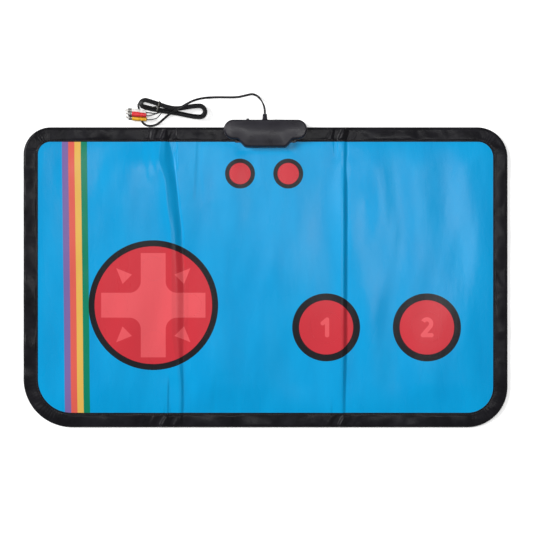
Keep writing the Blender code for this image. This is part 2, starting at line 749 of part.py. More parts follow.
def make_contacts():
    """Sprung strips at both ends of the cells, bent out to meet each cell."""
    for name, end in (("left_battery_contacts", -1), ("right_battery_contacts", 1)):
        wall = BOX_X + CELL_X + end * (BAY_HALF_LENGTH - GAP)
        face = wall - end * CONTACT_THICK / 2
        front = TUB_FRONT_Y + BOX_WALL + GAP
        back = TUB_BACK_Y - BOX_WALL - GAP
        low, high = TUB_LIFT + TUB_FLOOR + GAP, CELL_Z + CELL_RADIUS / 2
        strip = sheet(name, block(min(wall, face), max(wall, face), front, back), low, high, bright_metal())
        for number in range(CELL_COUNT):
            y = front + CELL_RADIUS + CELL_PITCH * number
            reach = BOX_X + CELL_X + end * (CELL_LENGTH / 2 + GAP)
            profile = ((0, CELL_NUB_RADIUS), (abs(face - reach) + CONTACT_THICK / 4, CELL_NUB_RADIUS * 0.7))
            start = (face + end * CONTACT_THICK / 4, y, CELL_Z)
            rings = turned_rings(profile, start, (-end, 0, 0), 8)
            shape_with(strip, loft(f"{name}_tool_{number + 1}", rings, bright_metal()), "UNION")


def make_board():
    left, right = board_sides()
    middle = (left + right) / 2
    z = board_z()
    back = TUB_BACK_Y - BOX_WALL - 2 * GAP
    board = block(left, right, back - BOARD_DEPTH, back)
    sheet("circuit_board", board, z, z + BOARD_THICK, material("circuit_board", (0.02, 0.16, 0.05), 0.45))
    chip_y = back - BOARD_DEPTH + 2 * CHIP_RADIUS
    top = z + BOARD_THICK + GAP
    angles = [math.radians(15 * i) for i in range(6)]
    dome = [(CHIP_HEIGHT * math.sin(a), CHIP_RADIUS * math.cos(a)) for a in angles]
    loft("game_chip", turned_rings(dome, (middle, chip_y, top), (0, 0, 1), 20),
         material("chip_resin", (0.01, 0.01, 0.01), 0.3), smooth=True)
    x = BOX_X + SWITCH_X + SWITCH_TRAVEL / 2
    housing = block(x - SWITCH_WIDTH / 2, x + SWITCH_WIDTH / 2, back - SWITCH_DEPTH, back)
    sheet("switch_housing", housing, top, top + SWITCH_HEIGHT, bright_metal())


def make_switch_slider():
    x = BOX_X + SWITCH_X
    z = nub_middle_z()
    inner = TUB_BACK_Y - BOX_WALL - GAP
    holder = carrier_at("switch_axis", (x, BOX_BACK_Y, z))
    nub = block(x - NUB_WIDTH / 2, x + NUB_WIDTH / 2, inner, BOX_BACK_Y + NUB_OUT)
    sheet("switch_slider", nub, z - NUB_HEIGHT / 2, z + NUB_HEIGHT / 2, case_plastic(), (), holder)


def screw_base_z():
    return TUB_LIFT + 2 * GAP


def screw_tip_z():
    return screw_base_z() + SCREW_LENGTH


def make_screws():
    for number, (x, y) in enumerate(screw_points(), 1):
        profile = ((0, SCREW_HEAD_RADIUS * 0.8), (SCREW_HEAD_THICK * 0.4, SCREW_HEAD_RADIUS),
                   (SCREW_HEAD_THICK, SCREW_HEAD_RADIUS), (SCREW_HEAD_THICK, SCREW_SHANK_RADIUS),
                   (SCREW_LENGTH - SCREW_SHANK_RADIUS, SCREW_SHANK_RADIUS),
                   (SCREW_LENGTH, SCREW_SHANK_RADIUS * 0.3))
        screw = loft(f"case_screw_{number}", turned_rings(profile, (x, y, screw_base_z()), (0, 0, 1), 12),
                     bright_metal())
        arms = ((DRIVE_REACH, DRIVE_HALF_WIDTH), (DRIVE_HALF_WIDTH, DRIVE_REACH))
        for arm, (reach_x, reach_y) in enumerate(arms, 1):
            slot = block(x - reach_x, x + reach_x, y - reach_y, y + reach_y)
            cut_sheet(screw, f"drive_tool_{number}_{arm}", slot, 0, screw_base_z() + DRIVE_DEPTH)


def make_box():
    make_lower_shell()
    make_upper_shell()
    make_strain_relief()
    make_door()
    make_cells()
    make_contacts()
    make_board()
    make_switch_slider()
    make_screws()


# AV lead


def smooth_curve(points, count):
    """Evenly spaced points on a smooth curve through the given ones."""
    fine = []
    last = len(points) - 1
    for i in range(last):
        a, b, c, d = (Vector(points[min(last, max(0, i + k))]) for k in (-1, 0, 1, 2))
        for step in range(24):
            t = step / 24
            fine.append(0.5 * (2 * b + (c - a) * t + (2 * a - 5 * b + 4 * c - d) * t * t
                               + (3 * b - a - 3 * c + d) * t ** 3))
    fine.append(Vector(points[-1]))
    lengths = [0.0]
    for a, b in zip(fine, fine[1:]):
        lengths.append(lengths[-1] + (b - a).length)
    made = []
    at = 0
    for i in range(count):
        wanted = lengths[-1] * i / (count - 1)
        while at < len(fine) - 2 and lengths[at + 1] < wanted:
            at += 1
        share = (wanted - lengths[at]) / (lengths[at + 1] - lengths[at])
        made.append(fine[at].lerp(fine[at + 1], share))
    return made


def tube(name, points, diameter, finish_material, resolution=2, carrier=None):
    curve = bpy.data.curves.new(name, "CURVE")
    curve.dimensions = "3D"
    curve.bevel_depth = diameter / 2
    curve.bevel_resolution = resolution
    curve.use_fill_caps = True
    curve.twist_mode = "Z_UP"
    line = curve.splines.new("POLY")
    line.points.add(len(points) - 1)
    for spot, place in zip(line.points, points):
        spot.co = (*place, 1)
    curve.materials.append(finish_material)
    thing = bpy.data.objects.new(name, curve)
    bpy.context.collection.objects.link(thing)
    hold(thing, carrier)
    return thing


def hank_axis(along):
    """Middle line of the hank: level at the right, leaning back at the left."""
    x = EXIT.x + HANK_MIDDLE[0] + along
    bend = math.sqrt(along * along + HANK_BEND * HANK_BEND)
    y = EXIT.y + HANK_MIDDLE[1] + HANK_LEAN * (bend - along) / 2
    slope = HANK_LEAN * (along / bend - 1) / 2
    across = Vector((-slope, 1, 0)).normalized()
    return Vector((x, y, 0)), across


def hank_draw_in(along):
    """How far the runs are drawn in towards the middle line: most at the waist."""
    waist = (2 * HANK_INNER_RADIUS + HANK_PITCH / 2 - HANK_PITCH) / 2
    share = math.cos(math.pi / 2 * max(-1.0, min(1.0, along / HANK_HALF_RUN))) ** 2
    ends = HANK_LEFT_NARROWER if along < 0 else 0.0
    return ends + (waist - ends) * share


def hank_radius(half_turns):
    """The spiral's radius: in for three half turns, then out for three, half a pitch each."""
    phase = half_turns % 6
    level = 3 - phase if phase <= 3 else phase - 3
    if half_turns < 0:
        level = 3 - half_turns
    return HANK_INNER_RADIUS + level * HANK_PITCH / 2


def tie_hump(along):
    """The runs rise where the wire tie passes under them."""
    beyond = TIE_HUMP_REACH - abs(along - TIE_ALONG)
    return (TIE_WIRE + GAP) * smooth_step(beyond / (TIE_HUMP_REACH - TIE_HUMP_FLAT))


def hank_height(half_turns, along):
    """Four layers, with a climb along each run where the spiral reverses."""
    climbed = 0.0
    for turn in (3, 6, 9):
        climbed += smooth_step(half_turns - turn)
    return CORD_DIAMETER / 2 + climbed * HANK_PITCH + tie_hump(along)


def hank_point(half_turns, on_arc):
    """A point of the hank: even half turns run along the back, odd ones along the front."""
    run = math.floor(half_turns)
    share = half_turns - run
    back = run % 2 == 0
    facing = 1 if back else -1
    if on_arc:
        along_end = HANK_HALF_RUN * facing
        radius = hank_radius(run + share) - hank_draw_in(along_end)
        angle = math.pi * (0.5 - share)
        along = along_end + facing * radius * math.cos(angle)
        across = facing * radius * math.sin(angle)
        height = hank_height(run + 1, along)
    else:
        along = HANK_HALF_RUN * facing * (2 * share - 1)
        across = facing * (hank_radius(run) - hank_draw_in(along))
        height = hank_height(run + share, along)
    middle, way = hank_axis(along)
    return middle + way * across + Vector((0, 0, height))


def hank_points():
    """From the left end's outermost point, along runs and round ends, to the last front run."""
    points = [hank_point(-1 + i / HANK_STEPS, True) for i in range(HANK_STEPS // 2, HANK_STEPS)]
    run = 0
    while run < HANK_HALF_TURNS:
        share_left = min(1.0, HANK_HALF_TURNS - run)
        steps = HANK_STEPS if share_left == 1.0 else max(2, round(HANK_STEPS * share_left))
        points += [hank_point(run + share_left * i / steps, False) for i in range(steps)]
        if share_left < 1.0:
            points.append(hank_point(run + share_left - 1e-6, False))
            break
        points += [hank_point(run + i / HANK_STEPS, True) for i in range(HANK_STEPS)]
        run += 1
    return points


def least_gap(points, diameter):
    """The least distance between stretches of a cord that are not next to each other, less its diameter."""
    fine = []
    for a, b in zip(points, points[1:]):
        fine += [a.lerp(b, i / 4) for i in range(4)]
    along = [0.0]
    for a, b in zip(fine, fine[1:]):
        along.append(along[-1] + (b - a).length)
    least = math.inf
    for i, a in enumerate(fine):
        for j in range(i + 1, len(fine)):
            if along[j] - along[i] > 4 * diameter:
                least = min(least, (a - fine[j]).length)
    return least - diameter


def make_hank():
    points = hank_points()
    print(f"cord_hank: least gap to itself {least_gap(points, CORD_DIAMETER) * 1000:.2f} mm")
    tube("cord_hank", points, CORD_DIAMETER, cord_vinyl(), 1)
    return points


def make_tie():
    """A wire tie round the hank's left half, outside every run."""
    middle, across = hank_axis(TIE_ALONG)
    reach = CORD_DIAMETER / 2 + GAP + TIE_WIRE / 2
    drawn = hank_draw_in(TIE_ALONG)
    back = HANK_INNER_RADIUS + 3 * HANK_PITCH / 2 - drawn + reach
    front = HANK_INNER_RADIUS + 2 * HANK_PITCH / 2 - drawn + reach
    low = TIE_WIRE / 2
    high = CORD_DIAMETER / 2 + 3 * HANK_PITCH + TIE_WIRE + GAP + reach
    outline = rounded_box(-front, back, low, high, reach, 5)
    along = Vector((across.y, -across.x, 0))
    count = len(outline)
    points = []
    for i in range(count + 1):
        v, z = outline[i % count]
        points.append(middle + across * v + along * (TIE_TWIST_PITCH * i / count) + Vector((0, 0, z)))
    tube("wire_tie", points, TIE_WIRE, material("wire_tie", (0.20, 0.20, 0.21), 0.4, 0.3), 1)


def plug_axis():
    return Vector((-math.cos(PLUG_TILT), math.sin(PLUG_TILT), 0))


def plug_places():
    """Rear ends of the plugs: yellow and white lie on the cord, red on top in the groove between them."""
    axis = plug_axis()
    across = Vector((axis.y, -axis.x, 0))
    middle = EXIT + Vector((*PLUG_REAR, CORD_DIAMETER + GAP + PLUG_RADIUS))
    rise = math.sqrt((2 * PLUG_RADIUS + GAP) ** 2 - (PLUG_SPACING / 2) ** 2)
    places = {
        "white": middle + across * PLUG_SPACING / 2,
        "red": middle + Vector((0, 0, rise)),
        "yellow": middle - across * PLUG_SPACING / 2,
    }
    return {colour: place + axis * PLUG_AHEAD[colour] for colour, place in places.items()}


def make_plugs():
    axis = plug_axis()
    for colour, rear in plug_places().items():
        moulding = material(f"{colour}_moulding", PLUG_COLOURS[colour], 0.35)
        shape = ((0, 0.74), (0.03, 0.82), (0.30, 0.86), (0.38, 0.80), (0.52, 0.98), (0.70, 1),
                 (0.96, 0.97), (1, 0.90))
        profile = [(PLUG_LENGTH * along, PLUG_RADIUS * across) for along, across in shape]
        loft(f"{colour}_plug_body", turned_rings(profile, rear, axis, 20), moulding, smooth=True)
        front = rear + axis * (PLUG_LENGTH + GAP)
        outer, inner = RING_RADIUS, RING_RADIUS - RING_WALL
        ring = ((0, inner), (0, outer * 0.94), (RING_LENGTH * 0.15, outer), (RING_LENGTH, outer * 0.97),
                (RING_LENGTH, inner * 0.97))
        close_ring(f"{colour}_plug_ring", turned_rings(ring, front, axis, 20))
        pin = ((0, PIN_RADIUS), (PIN_LENGTH - PIN_RADIUS, PIN_RADIUS),
               (PIN_LENGTH - PIN_RADIUS * 0.3, PIN_RADIUS * 0.7), (PIN_LENGTH, PIN_RADIUS * 0.3))
        loft(f"{colour}_plug_pin", turned_rings(pin, front, axis, 12), bright_metal(), smooth=True)


def close_ring(name, rows):
    """A turned tube: the last ring of points joins the first again."""
    bm = bmesh.new()
    made = [[bm.verts.new(point) for point in row] for row in rows]
    count = len(rows[0])
    for row, following in zip(made, made[1:] + made[:1]):
        for i in range(count):
            j = (i + 1) % count
            bm.faces.new((row[i], row[j], following[j], following[i]))
    finish(name, bm, bright_metal(), smooth=True)


def make_leads(hank_end, hank_way):
    """Three single leads, from the end of the flat cord to the plugs."""
    out = Vector((hank_way.y, -hank_way.x, 0)).normalized()
    fan = out * math.cos(LEAD_FAN) + Vector((0, 0, math.sin(LEAD_FAN)))
    for colour, rear in plug_places().items():
        step, drop, height = LEAD_BOWS[colour]
        start = hank_end + hank_way * GAP + fan * step * LEAD_PITCH
        end = rear - plug_axis() * GAP
        straight = end - plug_axis() * LEAD_END_RUN
        middle = start.lerp(straight, 0.5) + Vector((0, -drop, 0))
        middle.z = height
        points = [start, start + hank_way * LEAD_START_RUN, middle, straight, end]
        tube(f"{colour}_lead", smooth_curve(points, 20), LEAD_DIAMETER, cord_vinyl())


def make_av_lead():
    route = [(EXIT.x + x, EXIT.y + y, z) for x, y, z in CORD_ROUTE]
    hank = make_hank()
    way = (hank[1] - hank[0]).normalized()
    joint = [hank[0] - way * (GAP + back) for back in (0.004, 0.002, 0)]
    points = smooth_curve([*route, *joint], CORD_POINTS)
    for point in points:
        point.z = max(point.z, FLOOR_Z)
    tube("av_cord", points, CORD_DIAMETER, cord_vinyl())
    make_tie()
    make_plugs()
    make_leads(hank[-1], (hank[-1] - hank[-2]).normalized())


clear_scene()
make_mat()
make_box()
make_av_lead()
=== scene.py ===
import math

import bmesh
import bpy
import numpy as np
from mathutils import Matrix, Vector
from mathutils.geometry import delaunay_2d_cdt


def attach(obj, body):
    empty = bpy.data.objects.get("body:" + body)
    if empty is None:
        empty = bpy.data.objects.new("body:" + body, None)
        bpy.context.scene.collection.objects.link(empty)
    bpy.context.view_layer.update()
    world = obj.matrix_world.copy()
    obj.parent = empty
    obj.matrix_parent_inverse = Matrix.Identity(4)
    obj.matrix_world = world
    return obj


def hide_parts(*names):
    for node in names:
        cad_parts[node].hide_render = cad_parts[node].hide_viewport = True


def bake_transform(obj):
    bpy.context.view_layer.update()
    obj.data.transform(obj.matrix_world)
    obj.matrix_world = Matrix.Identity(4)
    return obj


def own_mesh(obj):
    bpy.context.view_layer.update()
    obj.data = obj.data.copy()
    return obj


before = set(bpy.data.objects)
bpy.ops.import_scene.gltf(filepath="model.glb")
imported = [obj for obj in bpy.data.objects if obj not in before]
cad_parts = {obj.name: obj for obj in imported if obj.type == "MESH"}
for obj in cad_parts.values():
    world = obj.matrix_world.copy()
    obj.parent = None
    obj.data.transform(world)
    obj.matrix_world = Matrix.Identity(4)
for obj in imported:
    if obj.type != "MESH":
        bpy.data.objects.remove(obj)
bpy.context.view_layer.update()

# The photographer's set: a white sweep under the mat, with the camera straight above it. The main light
# comes in low from the left and a little from behind, and two soft boxes above the camera lay a sheen on the
# vinyl.
scene = bpy.context.scene
scene.view_settings.view_transform = "Standard"

MAT_TOP = 0.0082
PHOTO_MM_PER_PIXEL = 1.65
PHOTO_PIXELS = 533
PHOTO_MIDDLE = (0.00165, 0.0178)
LENS = 85
SENSOR = 36
MAIN_LIGHT_FROM = (-1.25, 0.42, 0.95)
ROOM_FILL = 0.06
FLOOR_GLOW = 0.42

view_width = PHOTO_MM_PER_PIXEL * PHOTO_PIXELS / 1000
camera_data = bpy.data.cameras.new("photo_camera")
camera_data.lens = LENS
camera_data.sensor_width = SENSOR
camera_data.clip_end = 20
camera = bpy.data.objects.new("photo_camera", camera_data)
camera.location = (*PHOTO_MIDDLE, MAT_TOP + view_width * LENS / SENSOR)
scene.collection.objects.link(camera)
scene.camera = camera


def soft_box(name, place, size, watts):
    """A rectangular lamp that faces the mat's middle."""
    lamp = bpy.data.lights.new(name, "AREA")
    lamp.shape = "RECTANGLE"
    lamp.size, lamp.size_y = size
    lamp.energy = watts
    holder = bpy.data.objects.new(name, lamp)
    holder.location = place
    holder.rotation_euler = (-Vector(place)).to_track_quat("-Z", "Y").to_euler()
    scene.collection.objects.link(holder)


def principled(name, colour, roughness, shine=0.5):
    made = bpy.data.materials.new(name)
    made.use_nodes = True
    shader = made.node_tree.nodes["Principled BSDF"]
    shader.inputs["Base Color"].default_value = (*colour, 1)
    shader.inputs["Roughness"].default_value = roughness
    shader.inputs["Specular IOR Level"].default_value = shine
    return made, made.node_tree, shader


def add_node(tree, kind, links=(), **values):
    """A node with its given inputs linked or set."""
    node = tree.nodes.new(kind)
    for key, value in values.items():
        setattr(node, key, value)
    for key, value in dict(links).items():
        if isinstance(value, bpy.types.NodeSocket):
            tree.links.new(value, node.inputs[key])
        else:
            node.inputs[key].default_value = value
    return node


def compute(tree, operation, a, b=None):
    links = {0: a} if b is None else {0: a, 1: b}
    return add_node(tree, "ShaderNodeMath", links, operation=operation).outputs[0]


def rescaled(tree, value, low, high, start=0.0, end=1.0, **values):
    """A value that goes from low to high while the given one goes from start to end."""
    links = {"Value": value, "From Min": start, "From Max": end, "To Min": low, "To Max": high}
    return add_node(tree, "ShaderNodeMapRange", links, **values).outputs["Result"]


main_light = bpy.data.lights.new("main_light", "SUN")
main_light.energy = 3.05
main_light.angle = math.radians(22)
main_holder = bpy.data.objects.new("main_light", main_light)
main_holder.rotation_euler = Vector(MAIN_LIGHT_FROM).to_track_quat("Z", "Y").to_euler()
scene.collection.objects.link(main_holder)
soft_box("left_sheen_box", (-0.38, 0.46, 2.25), (0.75, 0.30), 12.5)
soft_box("right_sheen_box", (0.46, 0.20, 2.25), (0.5, 0.34), 12)

world = bpy.data.worlds.new("pale_room")
scene.world = world
world.use_nodes = True
room = world.node_tree
rays = add_node(room, "ShaderNodeLightPath").outputs
seen = compute(room, "MAXIMUM", rays["Is Camera Ray"], rays["Is Transmission Ray"])
bright = compute(room, "MAXIMUM", seen, rays["Is Glossy Ray"])
sky = room.nodes["Background"]
sky.inputs["Color"].default_value = (1, 1, 1, 1)
room.links.new(rescaled(room, bright, ROOM_FILL, 1.0), sky.inputs["Strength"])

bpy.ops.mesh.primitive_grid_add(x_subdivisions=4, y_subdivisions=4, size=12, location=(0, 0, 0))
floor = bpy.context.object
floor.name = "floor"
sweep, tree, paper = principled("white_sweep", (0.90, 0.90, 0.90), 0.9, 0.0)
paper.inputs["Emission Color"].default_value = (1, 1, 1, 1)
paper_rays = add_node(tree, "ShaderNodeLightPath").outputs
glow = compute(tree, "MULTIPLY", paper_rays["Is Camera Ray"], FLOOR_GLOW)
tree.links.new(glow, paper.inputs["Emission Strength"])
floor.data.materials.append(sweep)

# The AV lead: a flat cord of three black vinyl cores, moulded side by side. It leaves the box's back, twists
# as it comes down to the floor, and is wound up in a hank whose runs lean on each other, held by a wire tie.
EXIT = Vector((-0.001, 0.2688, 0))
FLOOR_Z = 0.0015
CORD_ROUTE = (
    (0.0000, 0.0000, 0.0167), (-0.0002, 0.0055, 0.0165), (-0.0014, 0.0125, 0.0145),
    (-0.0046, 0.0205, 0.0098), (-0.0092, 0.0275, 0.0058), (-0.0142, 0.0319, 0.0033),
    (-0.0213, 0.0343, 0.0018), (-0.0313, 0.0325, FLOOR_Z), (-0.0439, 0.0298, FLOOR_Z),
    (-0.0566, 0.0292, FLOOR_Z), (-0.0757, 0.0293, FLOOR_Z), (-0.0890, 0.0289, 0.0022),
    (-0.0985, 0.0278, 0.0048), (-0.1085, 0.0254, 0.0098), (-0.1180, 0.0218, 0.0142),
    (-0.1268, 0.0172, 0.0163), (-0.1361, 0.0118, 0.0170), (-0.1445, 0.0066, 0.0172),
    (-0.1540, 0.0010, 0.0166), (-0.1615, -0.0040, 0.0142), (-0.1680, -0.0088, 0.0098),
    (-0.1745, -0.0135, 0.0052), (-0.1812, -0.0168, 0.0024), (-0.1880, -0.0181, FLOOR_Z),
    (-0.1945, -0.0177, FLOOR_Z), (-0.2001, -0.0149, FLOOR_Z), (-0.2034, -0.0105, FLOOR_Z),
    (-0.2056, -0.0045, FLOOR_Z), (-0.2075, 0.0030, FLOOR_Z),
)
HANK_MIDDLE = (-0.1530, 0.0042)
HANK_HALF_RUN = 0.045
HANK_INNER_RADIUS = 0.0064
HANK_LEFT_NARROWER = 0.0030
HANK_PITCH = 0.0036
HANK_LEAN = 0.285
HANK_BEND = 0.015
HANK_HALF_TURNS = 11.63
HANK_STEPS = 10
FREE_STEP, WOUND_STEP = 0.0014, 0.0016
LEAVES_BOX_OVER = 0.02
TUBE_GAP = 0.0003
TIE_ALONG = -0.0225
TIE_LIFT = 0.0013
TIE_HUMP_FLAT = 0.008
TIE_HUMP_REACH = 0.030
CORE_RADIUS = 0.00066
CORE_SPACING = 0.00125
HANK_TWIST = 30
# along the free cord in mm, and how far it is turned up on its edge there
TWISTS = ((0, 0), (9, 30), (24, 66), (38, 20), (60, -4), (85, -12), (112, 4), (140, 14), (165, 6),
          (190, 30), (214, 12), (236, -4), (258, 14), (276, HANK_TWIST), (290, HANK_TWIST))


def soft(t):
    """A soft step from 0 to 1, for a number or an array."""
    t = np.clip(t, 0.0, 1.0)
    return t * t * (3 - 2 * t)


def even_curve(points, step):
    """Points on a smooth curve through the given ones, a step apart."""
    fine = []
    last = len(points) - 1
    for i in range(last):
        a, b, c, d = (Vector(points[min(last, max(0, i + k))]) for k in (-1, 0, 1, 2))
        for n in range(24):
            t = n / 24
            fine.append(0.5 * (2 * b + (c - a) * t + (2 * a - 5 * b + 4 * c - d) * t * t
                               + (3 * b - a - 3 * c + d) * t ** 3))
    fine.append(Vector(points[-1]))
    lengths = [0.0]
    for a, b in zip(fine, fine[1:]):
        lengths.append(lengths[-1] + (b - a).length)
    made = []
    at = 0
    count = max(2, round(lengths[-1] / step))
    for i in range(count + 1):
        wanted = lengths[-1] * i / count
        while at < len(fine) - 2 and lengths[at + 1] < wanted:
            at += 1
        share = (wanted - lengths[at]) / (lengths[at + 1] - lengths[at])
        made.append(fine[at].lerp(fine[at + 1], share))
    return made


def hank_axis(along):
    bend = math.sqrt(along * along + HANK_BEND * HANK_BEND)
    y = EXIT.y + HANK_MIDDLE[1] + HANK_LEAN * (bend - along) / 2
    slope = HANK_LEAN * (along / bend - 1) / 2
    return Vector((EXIT.x + HANK_MIDDLE[0] + along, y, 0)), Vector((-slope, 1, 0)).normalized()


def hank_draw_in(along):
    waist = (2 * HANK_INNER_RADIUS + HANK_PITCH / 2 - HANK_PITCH) / 2
    share = math.cos(math.pi / 2 * max(-1.0, min(1.0, along / HANK_HALF_RUN))) ** 2
    ends = HANK_LEFT_NARROWER if along < 0 else 0.0
    return ends + (waist - ends) * share


def hank_radius(half_turns):
    phase = half_turns % 6
    level = 3 - phase if phase <= 3 else phase - 3
    if half_turns < 0:
        level = 3 - half_turns
    return HANK_INNER_RADIUS + level * HANK_PITCH / 2


def hank_height(half_turns, along):
    climbed = sum(soft(half_turns - turn) for turn in (3, 6, 9))
    hump = soft((TIE_HUMP_REACH - abs(along - TIE_ALONG)) / (TIE_HUMP_REACH - TIE_HUMP_FLAT))
    return FLOOR_Z + climbed * HANK_PITCH + TIE_LIFT * hump


def hank_point(half_turns, on_arc):
    run = math.floor(half_turns)
    share = half_turns - run
    facing = 1 if run % 2 == 0 else -1
    if on_arc:
        end = HANK_HALF_RUN * facing
        radius = hank_radius(run + share) - hank_draw_in(end)
        angle = math.pi * (0.5 - share)
        along = end + facing * radius * math.cos(angle)
        across = facing * radius * math.sin(angle)
        height = hank_height(run + 1, along)
    else:
        along = HANK_HALF_RUN * facing * (2 * share - 1)
        across = facing * (hank_radius(run) - hank_draw_in(along))
        height = hank_height(run + share, along)
    middle, way = hank_axis(along)
    return middle + way * across + Vector((0, 0, height))


def hank_route():
    steps = HANK_STEPS
    points = [hank_point(-1 + i / steps, True) for i in range(steps // 2, steps)]
    run = 0
    while run < HANK_HALF_TURNS:
        left = min(1.0, HANK_HALF_TURNS - run)
        count = steps if left == 1.0 else max(2, round(steps * left))
        points += [hank_point(run + left * i / count, False) for i in range(count)]
        if left < 1.0:
            points.append(hank_point(run + left - 1e-6, False))
            break
        points += [hank_point(run + i / steps, True) for i in range(steps)]
        run += 1
    return points


def tube_rows(points, section, twists=None):
    """Rings of one section along a path. Each is turned up from level by its twist."""
    rows = []
    for i, (before, place, after) in enumerate(zip(points[:1] + points, points, points[1:] + points[-1:])):
        way = after - before
        side = Vector((way.y, -way.x, 0)).normalized()
        up = side.cross(way.normalized()).normalized()
        twist = twists[i] if twists else 0.0
        width = side * math.cos(twist) + up * math.sin(twist)
        thick = width.cross(way.normalized()).normalized()
        rows.append([place + width * u + thick * v for u, v in section])
    return rows


def ring_of(x, y, radius, steps=96):
    angles = [math.tau * i / steps for i in range(steps)]
    return [(x + radius * math.cos(a), y + radius * math.sin(a)) for a in angles]


def three_core_outline():
    """The flat cord's section: three round cores with a groove between them."""
    meet = math.acos(CORE_SPACING / 2 / CORE_RADIUS)
    points = []
    for offset, start, end, steps in (
        (CORE_SPACING, -math.pi + meet, math.pi - meet, 8),
        (0, meet, math.pi - meet, 3),
        (-CORE_SPACING, meet, 2 * math.pi - meet, 8),
        (0, math.pi + meet, 2 * math.pi - meet, 3),
    ):
        for i in range(steps):
            angle = start + (end - start) * (i + 0.5) / steps
            points.append((offset + CORE_RADIUS * math.cos(angle), CORE_RADIUS * math.sin(angle)))
    return points


def add_tube(bm, rows, closed=False):
    """A tube through rings of points, with its own UV map: U along it in metres, V round it."""
    made = [[bm.verts.new(p) for p in row] for row in rows]
    count = len(rows[0])
    uv = bm.loops.layers.uv.get("along") or bm.loops.layers.uv.new("along")
    reached = [0.0]
    for before, after in zip(rows, rows[1:]):
        reached.append(reached[-1] + (sum(after, Vector()) - sum(before, Vector())).length / count)
    pairs = list(zip(range(len(made)), range(1, len(made))))
    if closed:
        pairs.append((len(made) - 1, 0))
        reached.append(reached[-1])
    for a, b in pairs:
        for i in range(count):
            j = (i + 1) % count
            face = bm.faces.new((made[a][i], made[a][j], made[b][j], made[b][i]))
            face.smooth = True
            end = reached[b] if b else reached[-1]
            spots = ((reached[a], i), (reached[a], i + 1), (end, i + 1), (end, i))
            for loop, (along, step) in zip(face.loops, spots):
                loop[uv].uv = (along, step / count)
    if not closed:
        for row in (made[0], made[-1]):
            for edge in bm.faces.new(row).edges:
                edge.smooth = False


def finish_mesh(name, bm):
    bmesh.ops.recalc_face_normals(bm, faces=bm.faces)
    mesh = bpy.data.meshes.new(name)
    bm.to_mesh(mesh)
    bm.free()
    thing = bpy.data.objects.new(name, mesh)
    scene.collection.objects.link(thing)
    return thing


def tube_mesh(name, rows, closed=False):
    bm = bmesh.new()
    add_tube(bm, rows, closed)
    return finish_mesh(name, bm)


def object_place(tree):
    return add_node(tree, "ShaderNodeTexCoord").outputs["Object"]


def noise(tree, place, scale, detail=2.0, rough=0.5):
    links = {"Vector": place, "Scale": scale, "Detail": detail, "Roughness": rough}
    return add_node(tree, "ShaderNodeTexNoise", links).outputs["Fac"]


def two_tone(tree, share, first, second, start=0.0, end=1.0):
    """A colour that goes from the first to the second while a share goes from start to end."""
    ramp = add_node(tree, "ShaderNodeValToRGB", {"Fac": share})
    for stop, place, colour in zip(ramp.color_ramp.elements, (start, end), (first, second)):
        stop.position = place
        stop.color = (*colour, 1)
    return ramp.outputs["Color"]


def bumped(tree, height, strength, distance, under=None):
    """Fine relief, on top of other relief if that is given."""
    links = {"Height": height, "Strength": strength, "Distance": distance}
    if under:
        links["Normal"] = under
    return add_node(tree, "ShaderNodeBump", links).outputs["Normal"]


def wire_up(tree, shader, colour=None, roughness=None, normal=None):
    for name, socket in (("Base Color", colour), ("Roughness", roughness), ("Normal", normal)):
        if socket:
            tree.links.new(socket, shader.inputs[name])


def cord_vinyl():
    made, tree, shader = principled("cord_vinyl", (0.006, 0.006, 0.007), 0.30, 0.14)
    place = object_place(tree)
    scuff = noise(tree, place, 55, 3)
    wire_up(tree, shader, two_tone(tree, scuff, (0.003, 0.003, 0.004), (0.009, 0.009, 0.010), 0.35, 0.75),
            rescaled(tree, scuff, 0.22, 0.38), bumped(tree, noise(tree, place, 900), 0.25, 0.0002))
    return made


def turned_up(reached):
    """How far the free cord is turned up on its edge, at a distance from the box."""
    for (s0, a0), (s1, a1) in zip(TWISTS, TWISTS[1:]):
        if s0 <= reached <= s1:
            return math.radians(a0 + (a1 - a0) * soft((reached - s0) / (s1 - s0)))


hank = hank_route()
way = (hank[1] - hank[0]).normalized()
joint = [hank[0] - way * (TUBE_GAP + back) for back in (0.004, 0.002)]
free = even_curve([Vector((EXIT.x + x, EXIT.y + y, z)) for x, y, z in CORD_ROUTE] + joint, FREE_STEP)
wound = even_curve(hank, WOUND_STEP)
reached = 0.0
twists = [turned_up(reached)]
for before, point in zip(free, free[1:]):
    reached += (point - before).length * 1000
    twists.append(turned_up(reached))
lowest = [abs(math.sin(a)) * CORE_SPACING + CORE_RADIUS for a in twists]
settled = []
for point, low in zip(free, lowest):
    off_exit = soft((point - free[0]).length / LEAVES_BOX_OVER)
    height = max(low, point.z + (low - FLOOR_Z) * off_exit)
    settled.append(Vector((point.x, point.y, height)))
cord_path = settled + wound[1:]
twists += [math.radians(HANK_TWIST)] * (len(wound) - 1)
flat_cord = tube_mesh("flat_cord", tube_rows(cord_path, three_core_outline(), twists))
black_cord = cord_vinyl()


def fit(thing, material, body, nodes):
    """A finished piece gets its material, its body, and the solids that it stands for."""
    thing.data.materials.clear()
    thing.data.materials.append(material)
    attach(thing, body)
    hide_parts(*nodes)


fit(flat_cord, black_cord, "centre_panel", ["av_cord", "cord_hank"])

# The wire tie: a thin strip of vinyl over a soft wire. It goes once round the hank's left half, and its two
# ends are twisted together on top and laid along the hank.
TIE_HALF_WIDTH = 0.0012
TIE_HALF_EDGE = 0.00016
TIE_HALF_RIB = 0.00036
TIE_REACH = 0.0023
TIE_LOW = 0.0005
TIE_HIGH = 0.0159
TAIL_LENGTH = 0.011
TAIL_TURNS = 2.5
TAIL_STEPS = 30
TAIL_DRIFT = 0.005


